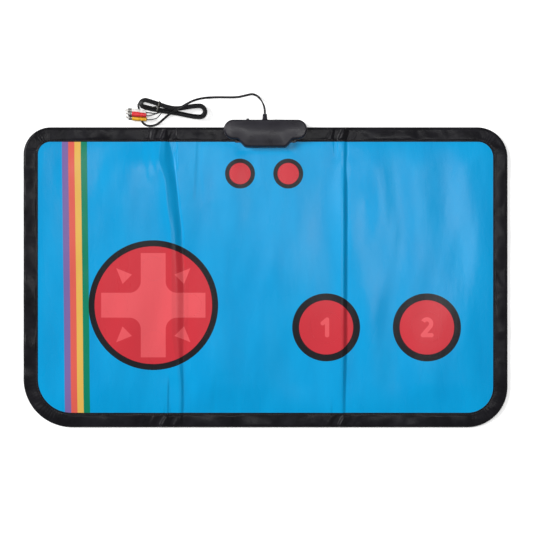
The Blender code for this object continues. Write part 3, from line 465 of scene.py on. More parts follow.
def tie_section(scale=1.0, thick=1.0):
    wide, edge, rib = TIE_HALF_WIDTH * scale, TIE_HALF_EDGE * thick, TIE_HALF_RIB * thick
    half = [(rib * 0.7, rib), (rib * 1.3, edge), (wide * 0.9, edge), (wide, edge * 0.6)]
    upper = [(-u, v) for u, v in reversed(half)] + half
    return upper + [(u, -v) for u, v in reversed(upper)]


def tie_loop():
    """Points round the hank in the tie's plane, as (across, height, facing angle)."""
    drawn = hank_draw_in(TIE_ALONG)
    back = HANK_INNER_RADIUS + 1.5 * HANK_PITCH - drawn
    front = -(HANK_INNER_RADIUS + HANK_PITCH - drawn)
    low, high = TIE_LOW + TIE_REACH, TIE_HIGH - TIE_REACH
    points = []
    corners = ((back, high, 0), (front, high, 90), (front, low, 180), (back, low, 270))
    for (v, z, start), (v2, z2, _) in zip(corners, corners[1:] + corners[:1]):
        for i in range(7):
            angle = math.radians(start + 15 * i)
            points.append((v + TIE_REACH * math.cos(angle), z + TIE_REACH * math.sin(angle), angle))
        angle = math.radians(start + 90)
        for i in range(1, 6):
            points.append((v + (v2 - v) * i / 6 + TIE_REACH * math.cos(angle),
                           z + (z2 - z) * i / 6 + TIE_REACH * math.sin(angle), angle))
    return points


middle, across = hank_axis(TIE_ALONG)
along = Vector((across.y, -across.x, 0))
bm = bmesh.new()
rows = []
for v, z, angle in tie_loop():
    out = across * math.cos(angle) + Vector((0, 0, math.sin(angle)))
    rows.append([middle + across * v + Vector((0, 0, z)) + along * u + out * w for u, w in tie_section()])
add_tube(bm, rows, closed=True)
rows = []
for i in range(TAIL_STEPS + 1):
    share = i / TAIL_STEPS
    place = middle + across * (0.002 - TAIL_DRIFT * share) - along * (TAIL_LENGTH * share - 0.001)
    place.z = TIE_HIGH + 0.0004 + 0.0006 * soft(share * 4) - 0.0011 * soft(share * 1.4 - 0.4)
    turn = math.tau * TAIL_TURNS * share
    wide = across * math.cos(turn) + Vector((0, 0, math.sin(turn)))
    thick = Vector((0, 0, math.cos(turn))) - across * math.sin(turn)
    rows.append([place + wide * u + thick * w for u, w in tie_section(0.75, 2.0)])
add_tube(bm, rows)
wire_tie = finish_mesh("twist_tie", bm)


def tie_vinyl():
    made, tree, shader = principled("tie_vinyl", (0.035, 0.035, 0.033), 0.36, 0.2)
    place = object_place(tree)
    wear = noise(tree, place, 260, 4)
    wire_up(tree, shader, two_tone(tree, wear, (0.020, 0.020, 0.016), (0.060, 0.058, 0.046)),
            normal=bumped(tree, noise(tree, place, 1400), 0.2, 0.0001))
    return made


fit(wire_tie, tie_vinyl(), "centre_panel", ["wire_tie"])

# Three single leads: past the hank the flat cord is split into its cores, and each core goes on alone to
# the back of its own plug.
LEAD_RADIUS = 0.00078
PLUG_LENGTH = 0.0236
PLUG_RADIUS = 0.0043
PLUG_TILT = math.radians(6)
PLUG_SPACING = 0.0114
PLUG_REAR = (-0.1945, -0.0024)
PLUG_BASE = 0.0033
PLUG_AHEAD = {"white": 0.0022, "red": 0.0004, "yellow": 0.0}
LEAD_BOWS = {"white": (0, 0.0023, 0.0106), "red": (1, 0.0006, 0.0160), "yellow": (-1, 0.0027, 0.0098)}
LEAD_PITCH = 0.0025
LEAD_SPREADS_BY = 0.0035
LEAD_STRAIGHT = 0.0053
LEAD_SUNK = 0.0008
LEAD_FAN = math.radians(35)
LEAD_IN_CORD = 0.0006
LEAD_STEP = 0.0011
plug_axis = Vector((-math.cos(PLUG_TILT), math.sin(PLUG_TILT), 0))
plug_up = Vector((0, 0, 1))
plug_side = plug_axis.cross(plug_up)


def plug_rears():
    middle = EXIT + Vector((*PLUG_REAR, PLUG_BASE + PLUG_RADIUS))
    rise = math.sqrt((2 * PLUG_RADIUS + TUBE_GAP) ** 2 - (PLUG_SPACING / 2) ** 2)
    places = {"white": middle + plug_side * PLUG_SPACING / 2, "red": middle + plug_up * rise,
              "yellow": middle - plug_side * PLUG_SPACING / 2}
    return {colour: place + plug_axis * PLUG_AHEAD[colour] for colour, place in places.items()}


end = cord_path[-1]
end_way = (cord_path[-1] - cord_path[-2]).normalized()
out = Vector((end_way.y, -end_way.x, 0)).normalized()
fan = out * math.cos(LEAD_FAN) + Vector((0, 0, math.sin(LEAD_FAN)))
row = out * math.cos(math.radians(HANK_TWIST)) + Vector((0, 0, math.sin(math.radians(HANK_TWIST))))
for colour, rear in plug_rears().items():
    step, drop, height = LEAD_BOWS[colour]
    first = end - end_way * LEAD_IN_CORD + row * step * CORE_SPACING
    spread = end + end_way * LEAD_SPREADS_BY + fan * step * LEAD_PITCH
    straight = rear - plug_axis * LEAD_STRAIGHT
    middle = (end + fan * step * LEAD_PITCH).lerp(straight, 0.5) + Vector((0, -drop, 0))
    middle.z = height
    route = even_curve([first, spread, middle, straight, rear + plug_axis * LEAD_SUNK], LEAD_STEP)
    lead = tube_mesh(f"{colour}_core", tube_rows(route, ring_of(0, 0, LEAD_RADIUS, 12)))
    fit(lead, black_cord, "centre_panel", [f"{colour}_lead"])

# Three phono plugs: a soft moulded grip in the signal's colour over the soldered end of the lead, with a
# split shell and a round-nosed pin of nickelled brass in front. The red one lies on the other two.
# The grip's outline is given as (share of its length, share of its radius).
GRIP_SHAPE = (
    (0.000, 0.66), (0.006, 0.72), (0.020, 0.775), (0.060, 0.80), (0.085, 0.805), (0.092, 0.74), (0.112, 0.74),
    (0.119, 0.815), (0.150, 0.825), (0.157, 0.755), (0.177, 0.755), (0.184, 0.835), (0.215, 0.845),
    (0.222, 0.775), (0.242, 0.775), (0.249, 0.85), (0.300, 0.86), (0.345, 0.835), (0.385, 0.80),
    (0.425, 0.825), (0.470, 0.91), (0.520, 0.97), (0.580, 0.99), (0.700, 1.0), (0.850, 0.99), (0.950, 0.975),
    (0.980, 0.955), (0.994, 0.925), (1.000, 0.88),
)
GRIP_FLUTES = 20
GRIP_FLUTE_DEPTH = 0.00016
RING_RADIUS = 0.0041
RING_WALL = 0.0006
RING_LENGTH = 0.0060
RING_COLLAR = 0.0017
PIN_RADIUS = 0.0016
PIN_LENGTH = 0.0110
PLUG_COLOURS = {"white": (0.80, 0.79, 0.76), "red": (0.72, 0.016, 0.026), "yellow": (0.90, 0.47, 0.006)}


def turned_rows(profile, start, sides, relief=None):
    rows = []
    for distance, radius in profile:
        ring = []
        for k in range(sides):
            angle = math.tau * k / sides
            grown = radius + (relief(distance, angle) if relief else 0)
            out = plug_up * math.cos(angle) + plug_side * math.sin(angle)
            ring.append(start + plug_axis * distance + out * grown)
        rows.append(ring)
    return rows


def grip_relief(distance, angle):
    """Shallow flutes along the thick front half."""
    share = distance / PLUG_LENGTH
    inside = soft((share - 0.55) / 0.06) * soft((0.93 - share) / 0.05)
    return -GRIP_FLUTE_DEPTH * inside * (0.5 - 0.5 * math.cos(GRIP_FLUTES * angle)) ** 3


def fine_profile(shape, length, radius):
    made = []
    for (s0, r0), (s1, r1) in zip(shape, shape[1:]):
        steps = max(1, round((s1 - s0) / 0.03))
        made += [(length * (s0 + (s1 - s0) * i / steps), radius * (r0 + (r1 - r0) * i / steps))
                 for i in range(steps)]
    return made + [(length * shape[-1][0], radius * shape[-1][1])]


def pin_profile():
    """The pin: a turned groove near its root, and a round nose."""
    neck = PIN_RADIUS * 0.93
    root = [(0, PIN_RADIUS), (0.004, PIN_RADIUS), (0.0042, neck), (0.0047, neck), (0.0049, PIN_RADIUS)]
    angles = [math.radians(degrees) for degrees in (0, 15, 30, 45, 60, 75, 86)]
    nose = [(PIN_LENGTH - PIN_RADIUS * (1 - math.sin(a)), PIN_RADIUS * math.cos(a)) for a in angles]
    return root + nose


def split_shell(name, front):
    """The shell: a whole collar at the back and four springy quarters in front of it."""
    inner = RING_RADIUS - RING_WALL
    collar = [(0, inner), (0, RING_RADIUS * 0.93), (0.0003, RING_RADIUS * 0.99), (RING_COLLAR, RING_RADIUS),
              (RING_COLLAR, inner)]
    bm = bmesh.new()
    add_tube(bm, turned_rows(collar, front, 48), closed=True)
    root, waist = RING_COLLAR - 0.0002, RING_LENGTH * 0.75
    blade = [(root, inner + 0.0001), (root, RING_RADIUS - 0.0001), (waist, RING_RADIUS * 0.985),
             (RING_LENGTH - 0.0003, RING_RADIUS * 0.965), (RING_LENGTH, RING_RADIUS * 0.93),
             (RING_LENGTH, inner * 0.97), (waist, inner * 0.975)]
    for quarter in range(4):
        rows = []
        for i in range(11):
            angle = math.radians(quarter * 90 + 51 + 78 * i / 10)
            out = plug_up * math.cos(angle) + plug_side * math.sin(angle)
            rows.append([front + plug_axis * d + out * r for d, r in blade])
        add_tube(bm, rows)
    return finish_mesh(name, bm)


def soft_moulding(colour):
    light = PLUG_COLOURS[colour]
    made, tree, shader = principled(f"{colour}_moulding", light, 0.36)
    place = object_place(tree)
    cloud = noise(tree, place, 160, 3)
    wire_up(tree, shader, two_tone(tree, cloud, [part * 0.84 for part in light], light, 0.3, 0.7),
            rescaled(tree, cloud, 0.30, 0.46), bumped(tree, noise(tree, place, 1500), 0.18, 0.0001))
    return made


def nickel(name, shade, roughness):
    """Nickel or tinned steel, finely scratched."""
    made, tree, shader = principled(name, (shade, shade * 0.97, shade * 0.92), roughness)
    shader.inputs["Metallic"].default_value = 1.0
    scratch = noise(tree, object_place(tree), 700, 5)
    wire_up(tree, shader, roughness=rescaled(tree, scratch, roughness * 0.7, roughness * 1.6),
            normal=bumped(tree, scratch, 0.12, 0.0001))
    return made


pin_nickel = nickel("bright_nickel", 0.46, 0.24)
# the split shells' nickel is painted dark: a painted reflection of dark surroundings in place of bright
# nickel's own colour
shade_painted_nickel = nickel("shade_painted_nickel", 0.20, 0.30)
plug_pieces = []
for colour, rear in plug_rears().items():
    grip_shape = fine_profile(GRIP_SHAPE, PLUG_LENGTH, PLUG_RADIUS)
    grip = tube_mesh(f"{colour}_grip", turned_rows(grip_shape, rear, 80, grip_relief))
    fit(grip, soft_moulding(colour), "centre_panel", [f"{colour}_plug_body"])
    front = rear + plug_axis * (PLUG_LENGTH + TUBE_GAP)
    shell = split_shell(f"{colour}_split_shell", front)
    fit(shell, shade_painted_nickel, "centre_panel", [f"{colour}_plug_ring"])
    pin = tube_mesh(f"{colour}_pin", turned_rows(pin_profile(), front, 24))
    fit(pin, pin_nickel, "centre_panel", [f"{colour}_plug_pin"])
    plug_pieces += [grip, shell, pin]

# The cover: one sheet of printed vinyl over the foam, creased where the mat folds and drawn down where the
# binding is sewn. It is made here in two halves, because the mat's middle panel hinges on both others.
MAT_WIDTH = 0.800
MAT_DEPTH = 0.496
CORNERS = {(-1, 1): 0.045, (1, 1): 0.050, (-1, -1): 0.080, (1, -1): 0.067}
BORDER = 0.0245
LEFT_FOLD_X = -0.147
RIGHT_FOLD_X = 0.130
FOLD_X = {-1: LEFT_FOLD_X, 1: RIGHT_FOLD_X}
PANELS = {-1: "left", 1: "right"}
HALVES_MEET_X = -0.002
COLUMNS_END_X = 0.377
COVER_LEVEL = 0.00825
COVER_PRESSED = 0.00785
COVER_UNDER = 0.00705
COVER_TUCK = 0.002
COVER_LOWEST = 0.0074
COVER_STEP = 0.0036
SEAM_DIP, SEAM_DIP_REACH = 0.00042, 0.0045
PUFF, PUFF_REACH = 0.0022, 0.045
SWELLS_FADE = 0.05
FOLD_HALF_WIDTH = 0.0032
BACK_FOLD_HALF_WIDTH = 0.0075
BOX_BAR_HALF = 0.0683
BOX_BACK_Y = 0.259
BOX_BAR_DEPTH = 0.0316
BOX_LOBE_DEPTH = 0.0127
BOX_LOBE_HALF = (0.047, 0.031)
BOX_MARGIN = 0.012
TUB_HALF_WIDTH = 0.0500
TUB_FRONT_Y = 0.2221

# each crease from the front to the back: y, its left edge's x, its slope's width, its whole drop, the share
# of that which is steep at the foot, and the height of the sharp rise behind the foot
LEFT_CREASE = (
    (-0.250, -0.1440, 0.0090, 0.0019, 0.75, 0.0002), (-0.221, -0.1435, 0.0100, 0.0027, 0.75, 0.0002),
    (-0.178, -0.1435, 0.0108, 0.0034, 0.75, 0.0002), (-0.145, -0.1470, 0.0130, 0.0039, 0.72, 0.0002),
    (-0.095, -0.1550, 0.0240, 0.0052, 0.68, 0.0002), (-0.013, -0.1550, 0.0240, 0.0057, 0.66, 0.0004),
    (0.037, -0.1555, 0.0195, 0.0057, 0.50, 0.0006), (0.080, -0.1560, 0.0180, 0.0062, 0.40, 0.0008),
    (0.119, -0.1620, 0.0190, 0.0067, 0.10, 0.0008), (0.160, -0.1655, 0.0180, 0.0065, 0.20, 0.0008),
    (0.193, -0.1760, 0.0245, 0.0066, 0.40, 0.0008), (0.218, -0.1740, 0.0200, 0.0052, 0.50, 0.0006),
    (0.238, -0.1680, 0.0070, 0.0034, 0.60, 0.0003),
)
RIGHT_CREASE = (
    (-0.250, 0.1240, 0.0085, 0.0016, 0.70, 0.0001), (-0.200, 0.1235, 0.0095, 0.0025, 0.75, 0.0001),
    (-0.120, 0.1240, 0.0115, 0.0038, 0.80, 0.0001), (0.000, 0.1240, 0.0120, 0.0045, 0.80, 0.0001),
    (0.100, 0.1240, 0.0120, 0.0045, 0.80, 0.0002), (0.160, 0.1245, 0.0115, 0.0038, 0.75, 0.0002),
    (0.205, 0.1250, 0.0105, 0.0028, 0.70, 0.0003), (0.250, 0.1270, 0.0080, 0.0024, 0.75, 0.0001),
)
# small creases near the front and back edges: x at the front end, how far they lean, width, step down to the
# right, and the y where they start and end
SMALL_CREASES = (
    (-0.1618, 0.02, 0.0040, 0.0015, -0.262, -0.160), (-0.1710, 0.10, 0.0030, 0.0007, -0.262, -0.205),
    (-0.1520, -0.12, 0.0030, 0.0006, -0.262, -0.200), (-0.1800, -0.14, 0.0030, -0.0008, 0.165, 0.262),
    (-0.1920, -0.10, 0.0040, -0.0007, 0.150, 0.250), (-0.1440, -0.05, 0.0030, -0.0006, 0.170, 0.262),
    (-0.1180, 0.06, 0.0060, 0.0008, 0.120, 0.250), (-0.1020, -0.05, 0.0070, -0.0007, 0.110, 0.235),
    (0.1120, 0.00, 0.0030, 0.0007, 0.195, 0.262), (0.1180, 0.02, 0.0030, -0.0006, 0.190, 0.262),
    (0.1080, 0.02, 0.0030, 0.0006, -0.262, -0.200), (-0.0950, 0.12, 0.0060, 0.0006, -0.262, -0.150),
)
# slack of the vinyl over the foam: soft swells drawn out along the mat's depth, as (size across, size along,
# height, how far they lean, seed)
SWELLS = ((0.130, 0.200, 0.0022, 0.10, 3), (0.055, 0.170, 0.0020, -0.10, 8),
          (0.030, 0.095, 0.0015, 0.08, 21), (0.016, 0.050, 0.0005, -0.12, 34))
# the closed left fold presses a band of the mat flat: its middle and reach, the shares it takes off the puff
# and off the swells, and how broad a swell has to be to be pressed
PRESSED_X, PRESSED_REACH = -0.153, 0.040
PRESSED_PUFF, PRESSED_SWELL, BROAD_SWELL = 0.75, 0.85, 0.05


def along_crease(table, y):
    """A crease's columns at each y, rounded off between the given points."""
    ys = np.linspace(-0.26, 0.26, 521)
    reach = 12
    spread = np.hanning(2 * reach + 1)
    spread /= spread.sum()
    found = []
    for column in range(1, 6):
        values = np.interp(ys, [row[0] for row in table], [row[column] for row in table])
        padded = np.concatenate([np.full(reach, values[0]), values, np.full(reach, values[-1])])
        found.append(np.interp(y, ys, np.convolve(padded, spread, mode="valid")))
    return found


def spline_weights(w):
    """What four neighbours in a row count for at a share of the way between the middle two."""
    sixfold = ((1 - w) ** 3, 3 * w ** 3 - 6 * w ** 2 + 4, -3 * w ** 3 + 3 * w ** 2 + 3 * w + 1, w ** 3)
    return [part / 6 for part in sixfold]


def swell(x, y, across, along, seed):
    """Smooth random heights with a given size each way, the same on each run."""
    grid = np.random.default_rng(seed).standard_normal((64, 64))
    u, v = x / across + 30.3, y / along + 30.7
    column, row = np.floor(u).astype(int), np.floor(v).astype(int)
    us, vs = spline_weights(u % 1), spline_weights(v % 1)
    return sum(us[i] * vs[j] * grid[(column + i) % 64, (row + j) % 64] for i in range(4) for j in range(4))


def in_from_edge(x, y):
    """The distance in from the mat's rounded edge."""
    radius = np.zeros_like(x)
    for (sx, sy), size in CORNERS.items():
        radius = np.where((np.sign(x + 1e-9) == sx) & (np.sign(y + 1e-9) == sy), size, radius)
    qx = np.abs(x) - MAT_WIDTH / 2 + radius
    qy = np.abs(y) - MAT_DEPTH / 2 + radius
    outside = np.hypot(np.maximum(qx, 0), np.maximum(qy, 0)) + np.minimum(np.maximum(qx, qy), 0) - radius
    return -outside


def crease(x, y, table, left_reach, right_reach):
    """A slope down to the right, steeper at its foot, then a short sharp rise and a long soft one."""
    edge, width, drop, steep, turn_up = along_crease(table, y)
    high, low = 0.72 * drop, 0.28 * drop
    d = x - edge
    t = np.clip(d / width, 0, 1)
    gentle = np.where(t < 0.1, 5 * t * t, t - 0.05) / 0.95
    slope = high - drop * ((1 - steep) * gentle + steep * soft((t - 0.30) / 0.70))
    beyond = np.maximum(d - width, 0)
    rise = -low + turn_up * soft(beyond / 0.0030) + (low - turn_up) * (1 - np.exp(-beyond / right_reach))
    before = high * np.exp(np.minimum(d, 0) / left_reach)
    return np.where(d < 0, before, np.where(d < width, slope, rise))


def small_crease(x, y, x_at, sway, width, depth, y0, y1):
    """A short crease near the mat's edge: a small step, which fades out at both its ends."""
    d = x - (x_at + sway * (y - y0))
    fade = soft((y - y0) / 0.02) * soft((y1 - y) / 0.02)
    return depth * fade * (0.5 - soft(d / width + 0.5)) * np.exp(-np.abs(d) / (5 * width))


def box_cover_share(x, y, margin):
    """1 under the box, falling to 0 at a distance round it."""
    ax = np.abs(x)
    radius = BOX_BAR_DEPTH / 2
    bar = np.hypot(np.maximum(ax - (BOX_BAR_HALF - radius), 0), y - (BOX_BACK_Y - radius)) - radius
    lobe = np.maximum(ax - BOX_LOBE_HALF[1] - 0.006, (BOX_BACK_Y - BOX_BAR_DEPTH - BOX_LOBE_DEPTH) - y)
    return 1 - soft((np.minimum(bar, np.maximum(lobe, 0)) - 0.002) / margin)


def mat_height(x, y):
    """The height of the cover's top over the whole mat."""
    x, y = np.asarray(x, float), np.asarray(y, float)
    inside = in_from_edge(x, y) - BORDER
    height = COVER_LEVEL - SEAM_DIP * np.exp(-np.maximum(inside, 0) / SEAM_DIP_REACH)
    flat = np.exp(-((x - PRESSED_X) / PRESSED_REACH) ** 2)
    height = height + PUFF * (1 - PRESSED_PUFF * flat) * (1 - np.exp(-np.maximum(inside, 0) / PUFF_REACH))
    for across, along, size, lean, seed in SWELLS:
        calm = soft(inside / SWELLS_FADE) * (1 - PRESSED_SWELL * flat * (across > BROAD_SWELL))
        height = height + size * calm * swell(x + lean * y, y, across, along, seed)
    height = height + crease(x, y, LEFT_CREASE, 0.030, 0.022) + crease(x, y, RIGHT_CREASE, 0.022, 0.026)
    for values in SMALL_CREASES:
        height = height + small_crease(x, y, *values)
    pressed = box_cover_share(x, y, BOX_MARGIN)
    return np.maximum(height, COVER_LOWEST) * (1 - pressed) + COVER_PRESSED * pressed


def rounded_path(inset, side, front_x, back_x, step=0.003):
    """Round one half of the mat at a distance in from its edge, from the front to the back, as (x, y)."""
    edge = side * (MAT_WIDTH / 2 - inset)
    reach = MAT_DEPTH / 2 - inset
    points = [(front_x, -reach)]
    for y_side, first, last in ((-1, -90, 0), (1, 0, 90)):
        radius = CORNERS[(side, y_side)] - inset
        cx, cy = edge - side * radius, y_side * (reach - radius)
        steps = max(8, round(radius * math.pi / 2 / step))
        for i in range(steps + 1):
            angle = math.radians(first + (last - first) * i / steps)
            points.append((cx + side * radius * math.cos(angle), cy + radius * math.sin(angle)))
    return points + [(back_x, reach)]


def columns_between(x0, x1, fold, half_width, step):
    """Places of the mesh's columns: close together at the fold, closer than usual by its crease."""
    fold_step, crease_reach, crease_step, least = 0.0005, 0.034, 0.0011, 0.0006
    count = round(2 * half_width / fold_step)
    places = {fold - half_width + 2 * half_width * i / count for i in range(count + 1)}
    first, last = min(places), max(places)
    x = x0 + step
    while x < x1 - step / 2:
        if not first - least < x < last + least:
            places.add(x)
        x += min(step, crease_step) if abs(x - fold) < crease_reach else step
    return sorted(places)


def depth_inside(loop, xs, ys):
    """How far points lie inside a closed outline, and less than nothing outside it."""
    nearest = np.full(xs.shape, np.inf)
    inside = np.zeros(xs.shape, bool)
    for (ax, ay), (bx, by) in zip(loop, loop[1:] + loop[:1]):
        wx, wy = bx - ax, by - ay
        share = np.clip(((xs - ax) * wx + (ys - ay) * wy) / max(wx * wx + wy * wy, 1e-18), 0, 1)
        nearest = np.minimum(nearest, np.hypot(xs - ax - share * wx, ys - ay - share * wy))
        if ay != by:
            inside ^= ((ay > ys) != (by > ys)) & (xs < ax + (ys - ay) * wx / wy)
    return np.where(inside, nearest, -nearest)


def filled(outline, holes, columns, row_step, clear):
    """Triangles that fill an outline round its holes, with points in columns and rows, as x, y, faces."""
    points, edges = [], []
    for loop in (outline, *holes):
        start = len(points)
        points += [Vector(p) for p in loop]
        edges += [(start + i, start + (i + 1) % len(loop)) for i in range(len(loop))]
    low, high = min(p[1] for p in outline), max(p[1] for p in outline)
    rows = max(2, round((high - low) / row_step))
    xs, ys = np.meshgrid(np.array(columns), low + (high - low) * np.arange(1, rows) / rows)
    xs, ys = xs.ravel(), ys.ravel()
    keep = depth_inside(outline, xs, ys) > clear
    for loop in holes:
        keep &= depth_inside(loop, xs, ys) < -clear
    points += [Vector(p) for p in zip(xs[keep], ys[keep])]
    made = delaunay_2d_cdt(points, edges, [], 1, 1e-7)
    places, faces = np.array([tuple(p) for p in made[0]]), np.array(made[2])
    middles = places[faces].mean(axis=1)
    keep = np.ones(len(faces), bool)
    for loop in holes:
        keep &= depth_inside(loop, *middles.T) < 0
    return *places.T, faces[keep].tolist()


def drop_loose(bm):
    for vert in [v for v in bm.verts if not v.link_faces]:
        bm.verts.remove(vert)


def plate(name, outline, holes, columns, row_step, top, bottom, clear=0.0008):
    """A closed sheet over an outline, its top and bottom each a height over (x, y)."""
    xs, ys, faces = filled(outline, holes, columns, row_step, clear)
    tops, bottoms = top(xs, ys), bottom(xs, ys)
    bm = bmesh.new()
    upper = [bm.verts.new((x, y, z)) for x, y, z in zip(xs, ys, tops)]
    lower = [bm.verts.new((x, y, z)) for x, y, z in zip(xs, ys, bottoms)]
    sides = {}
    for face in faces:
        bm.faces.new([upper[i] for i in face]).smooth = True
        bm.faces.new([lower[i] for i in reversed(face)]).smooth = True
        sides.update({(a, b): True for a, b in zip(face, face[1:] + face[:1])})
    for a, b in sides:
        if (b, a) not in sides:
            wall = bm.faces.new((upper[b], upper[a], lower[a], lower[b]))
            for edge in wall.edges:
                edge.smooth = False
    drop_loose(bm)
    return finish_mesh(name, bm)


# each step pad's middle and radius
STEP_PADS = {
    "up_pad": (-0.185, 0.014, 0.019), "down_pad": (-0.185, -0.106, 0.019),
    "left_pad": (-0.245, -0.046, 0.019), "right_pad": (-0.125, -0.046, 0.019),
    "action_pad_one": (0.100, -0.0825, 0.026), "action_pad_two": (0.266, -0.0825, 0.026),
    "reset_pad": (-0.042, 0.171, 0.0145), "start_pad": (0.0375, 0.171, 0.0145),
}
PAD_GAP = 0.00006
PAD_UNDER = 0.0072
PAD_COLUMN_STEP, PAD_ROW_STEP, PAD_CLEAR = 0.0012, 0.0024, 0.0006


def sheet_outline(side, inset):
    """One half of the mat, with its notch behind for the box."""
    path = rounded_path(inset, side, HALVES_MEET_X, side * TUB_HALF_WIDTH)
    path += [(side * TUB_HALF_WIDTH, TUB_FRONT_Y), (HALVES_MEET_X, TUB_FRONT_Y)]
    return path if side > 0 else path[::-1]


def cut_columns(outline, columns):
    """The outline with a point wherever a column crosses its straight front and back."""
    near, step = 0.0004, 0.004
    made = []
    for a, b in zip(outline, outline[1:] + outline[:1]):
        made.append(a)
        if abs(a[1] - b[1]) < 1e-9:
            between = [x for x in columns if min(a[0], b[0]) + near < x < max(a[0], b[0]) - near]
            made += [(x, a[1]) for x in sorted(between, reverse=a[0] > b[0])]
        elif abs(a[0] - b[0]) < 1e-9:
            count = max(1, round(abs(a[1] - b[1]) / step))
            made += [(a[0], a[1] + (b[1] - a[1]) * i / count) for i in range(1, count)]
    return made


def half_sheet(side, inset, fold_half_width, step):
    """One half sheet's outline, and the columns of its mesh."""
    ends = sorted((HALVES_MEET_X, side * COLUMNS_END_X))
    columns = columns_between(*ends, FOLD_X[side], fold_half_width, step)
    return cut_columns(sheet_outline(side, inset), columns), columns


# the print, in metres: the cross pad, the two round pads with their numerals, and the two small ones
CROSS_PLACE = (-0.185, -0.046)
CROSS_RADII = (0.107, 0.097)
CROSS_ARM = (0.0205, 0.086)
CROSS_FILLET = 0.019
WEDGE = (0.0605, 0.0865, 0.0110)
ROUND_RADII = (0.056, 0.0447)
SMALL_RADII = (0.0247, 0.0176)
STRIPES_LEFT = (-0.3308, -0.3360)
STRIPES_WIDTH = 0.0414
PRINT_DEPTH = 0.447
STRIPE_COLOURS = (
    (0.190, 0.125, 0.345), (0.700, 0.110, 0.080), (0.740, 0.440, 0.090), (0.001, 0.200, 0.112),
)
BLUE = (0.0005, 0.313, 0.650)
PRINT_BLACK = (0.006, 0.006, 0.009)
PRINT_RED = (0.560, 0.032, 0.046)
PRINT_PINK = (0.740, 0.092, 0.108)
EDGE_SOFTNESS = 0.00025
# strokes of the numerals 1 and 2 round the middle of their pads, and the 2's bow: its middle, its radius, and
# the slanted line above which it is drawn
STROKE = 0.0035
ONE = (((0.0015, -0.0130), (0.0015, 0.0130)), ((0.0015, 0.0130), (-0.0058, 0.0068)))
TWO = (((0.0060, 0.0022), (-0.0068, -0.0128)), ((-0.0068, -0.0128), (0.0075, -0.0128)))
TWO_BOW = ((0.0, 0.0062), 0.0070)
TWO_BOW_SLANT, TWO_BOW_FROM = 0.62, -0.0006


def plus(tree, a, b):
    return compute(tree, "ADD", a, b)


def minus(tree, a, b):
    return compute(tree, "SUBTRACT", a, b)


def times(tree, a, b):
    return compute(tree, "MULTIPLY", a, b)


def apart(tree, a, b=0.0):
    """How far two values are apart."""
    return compute(tree, "ABSOLUTE", minus(tree, a, b) if b else a)


def within(tree, distance, edge):
    """1 where a distance is less than the edge, with a narrow soft step."""
    return rescaled(tree, distance, 1.0, 0.0, edge - EDGE_SOFTNESS, edge + EDGE_SOFTNESS,
                    interpolation_type="SMOOTHSTEP")


def either(tree, first, *others):
    for other in others:
        first = compute(tree, "MAXIMUM", first, other)
    return first


def away(tree, x, y):
    """Distance from the origin of two coordinates."""
    return compute(tree, "SQRT", plus(tree, times(tree, x, x), times(tree, y, y)))


def shifted(tree, x, y, place):
    return minus(tree, x, place[0]), minus(tree, y, place[1])


def stroke(tree, x, y, ends):
    """A numeral's straight stroke with round ends."""
    (ax, ay), (bx, by) = ends
    px, py = shifted(tree, x, y, (ax, ay))
    wx, wy = bx - ax, by - ay
    along = plus(tree, times(tree, px, wx), times(tree, py, wy))
    share = compute(tree, "DIVIDE", along, wx * wx + wy * wy)
    share = compute(tree, "MINIMUM", compute(tree, "MAXIMUM", share, 0.0), 1.0)
    off = away(tree, minus(tree, px, times(tree, share, wx)), minus(tree, py, times(tree, share, wy)))
    return within(tree, off, STROKE)


def strokes(tree, x, y, lines):
    return either(tree, *(stroke(tree, x, y, ends) for ends in lines))


def numeral_two(tree, x, y):
    bx, by = shifted(tree, x, y, TWO_BOW[0])
    bow = within(tree, apart(tree, away(tree, bx, by), TWO_BOW[1]), STROKE)
    drawn = compute(tree, "GREATER_THAN", plus(tree, by, times(tree, bx, TWO_BOW_SLANT)), TWO_BOW_FROM)
    return either(tree, times(tree, bow, drawn), strokes(tree, x, y, TWO))


def lay_ink(tree, under, ink, mask):
    mix = add_node(tree, "ShaderNodeMix", {}, data_type="RGBA")
    tree.links.new(mask, mix.inputs["Factor"])
    for socket, value in ((mix.inputs[6], under), (mix.inputs[7], ink)):
        if isinstance(value, bpy.types.NodeSocket):
            tree.links.new(value, socket)
        else:
            socket.default_value = (*value, 1)
    return mix.outputs[2]


def cross_mask(tree, x, y):
    """The cross pad's arms, with hollow rounds where they meet."""
    a, b = apart(tree, x), apart(tree, y)
    half, reach = CROSS_ARM
    upright = times(tree, within(tree, a, half), within(tree, b, reach))
    level = times(tree, within(tree, b, half), within(tree, a, reach))
    spot = half + CROSS_FILLET
    corner = within(tree, compute(tree, "MAXIMUM", a, b), spot)
    hollow = within(tree, away(tree, minus(tree, spot, a), minus(tree, spot, b)), CROSS_FILLET)
    return either(tree, upright, level, times(tree, corner, minus(tree, 1.0, hollow)))


def wedge_mask(tree, x, y):
    """Four wedges between the arms, which point outwards."""
    a, b = apart(tree, x), apart(tree, y)
    start, tip, half = WEDGE
    out = times(tree, plus(tree, a, b), math.sqrt(0.5))
    side = apart(tree, times(tree, minus(tree, a, b), math.sqrt(0.5)))
    edge = plus(tree, times(tree, side, (tip - start) / half), out)
    return times(tree, within(tree, edge, tip), minus(tree, 1.0, within(tree, out, start)))


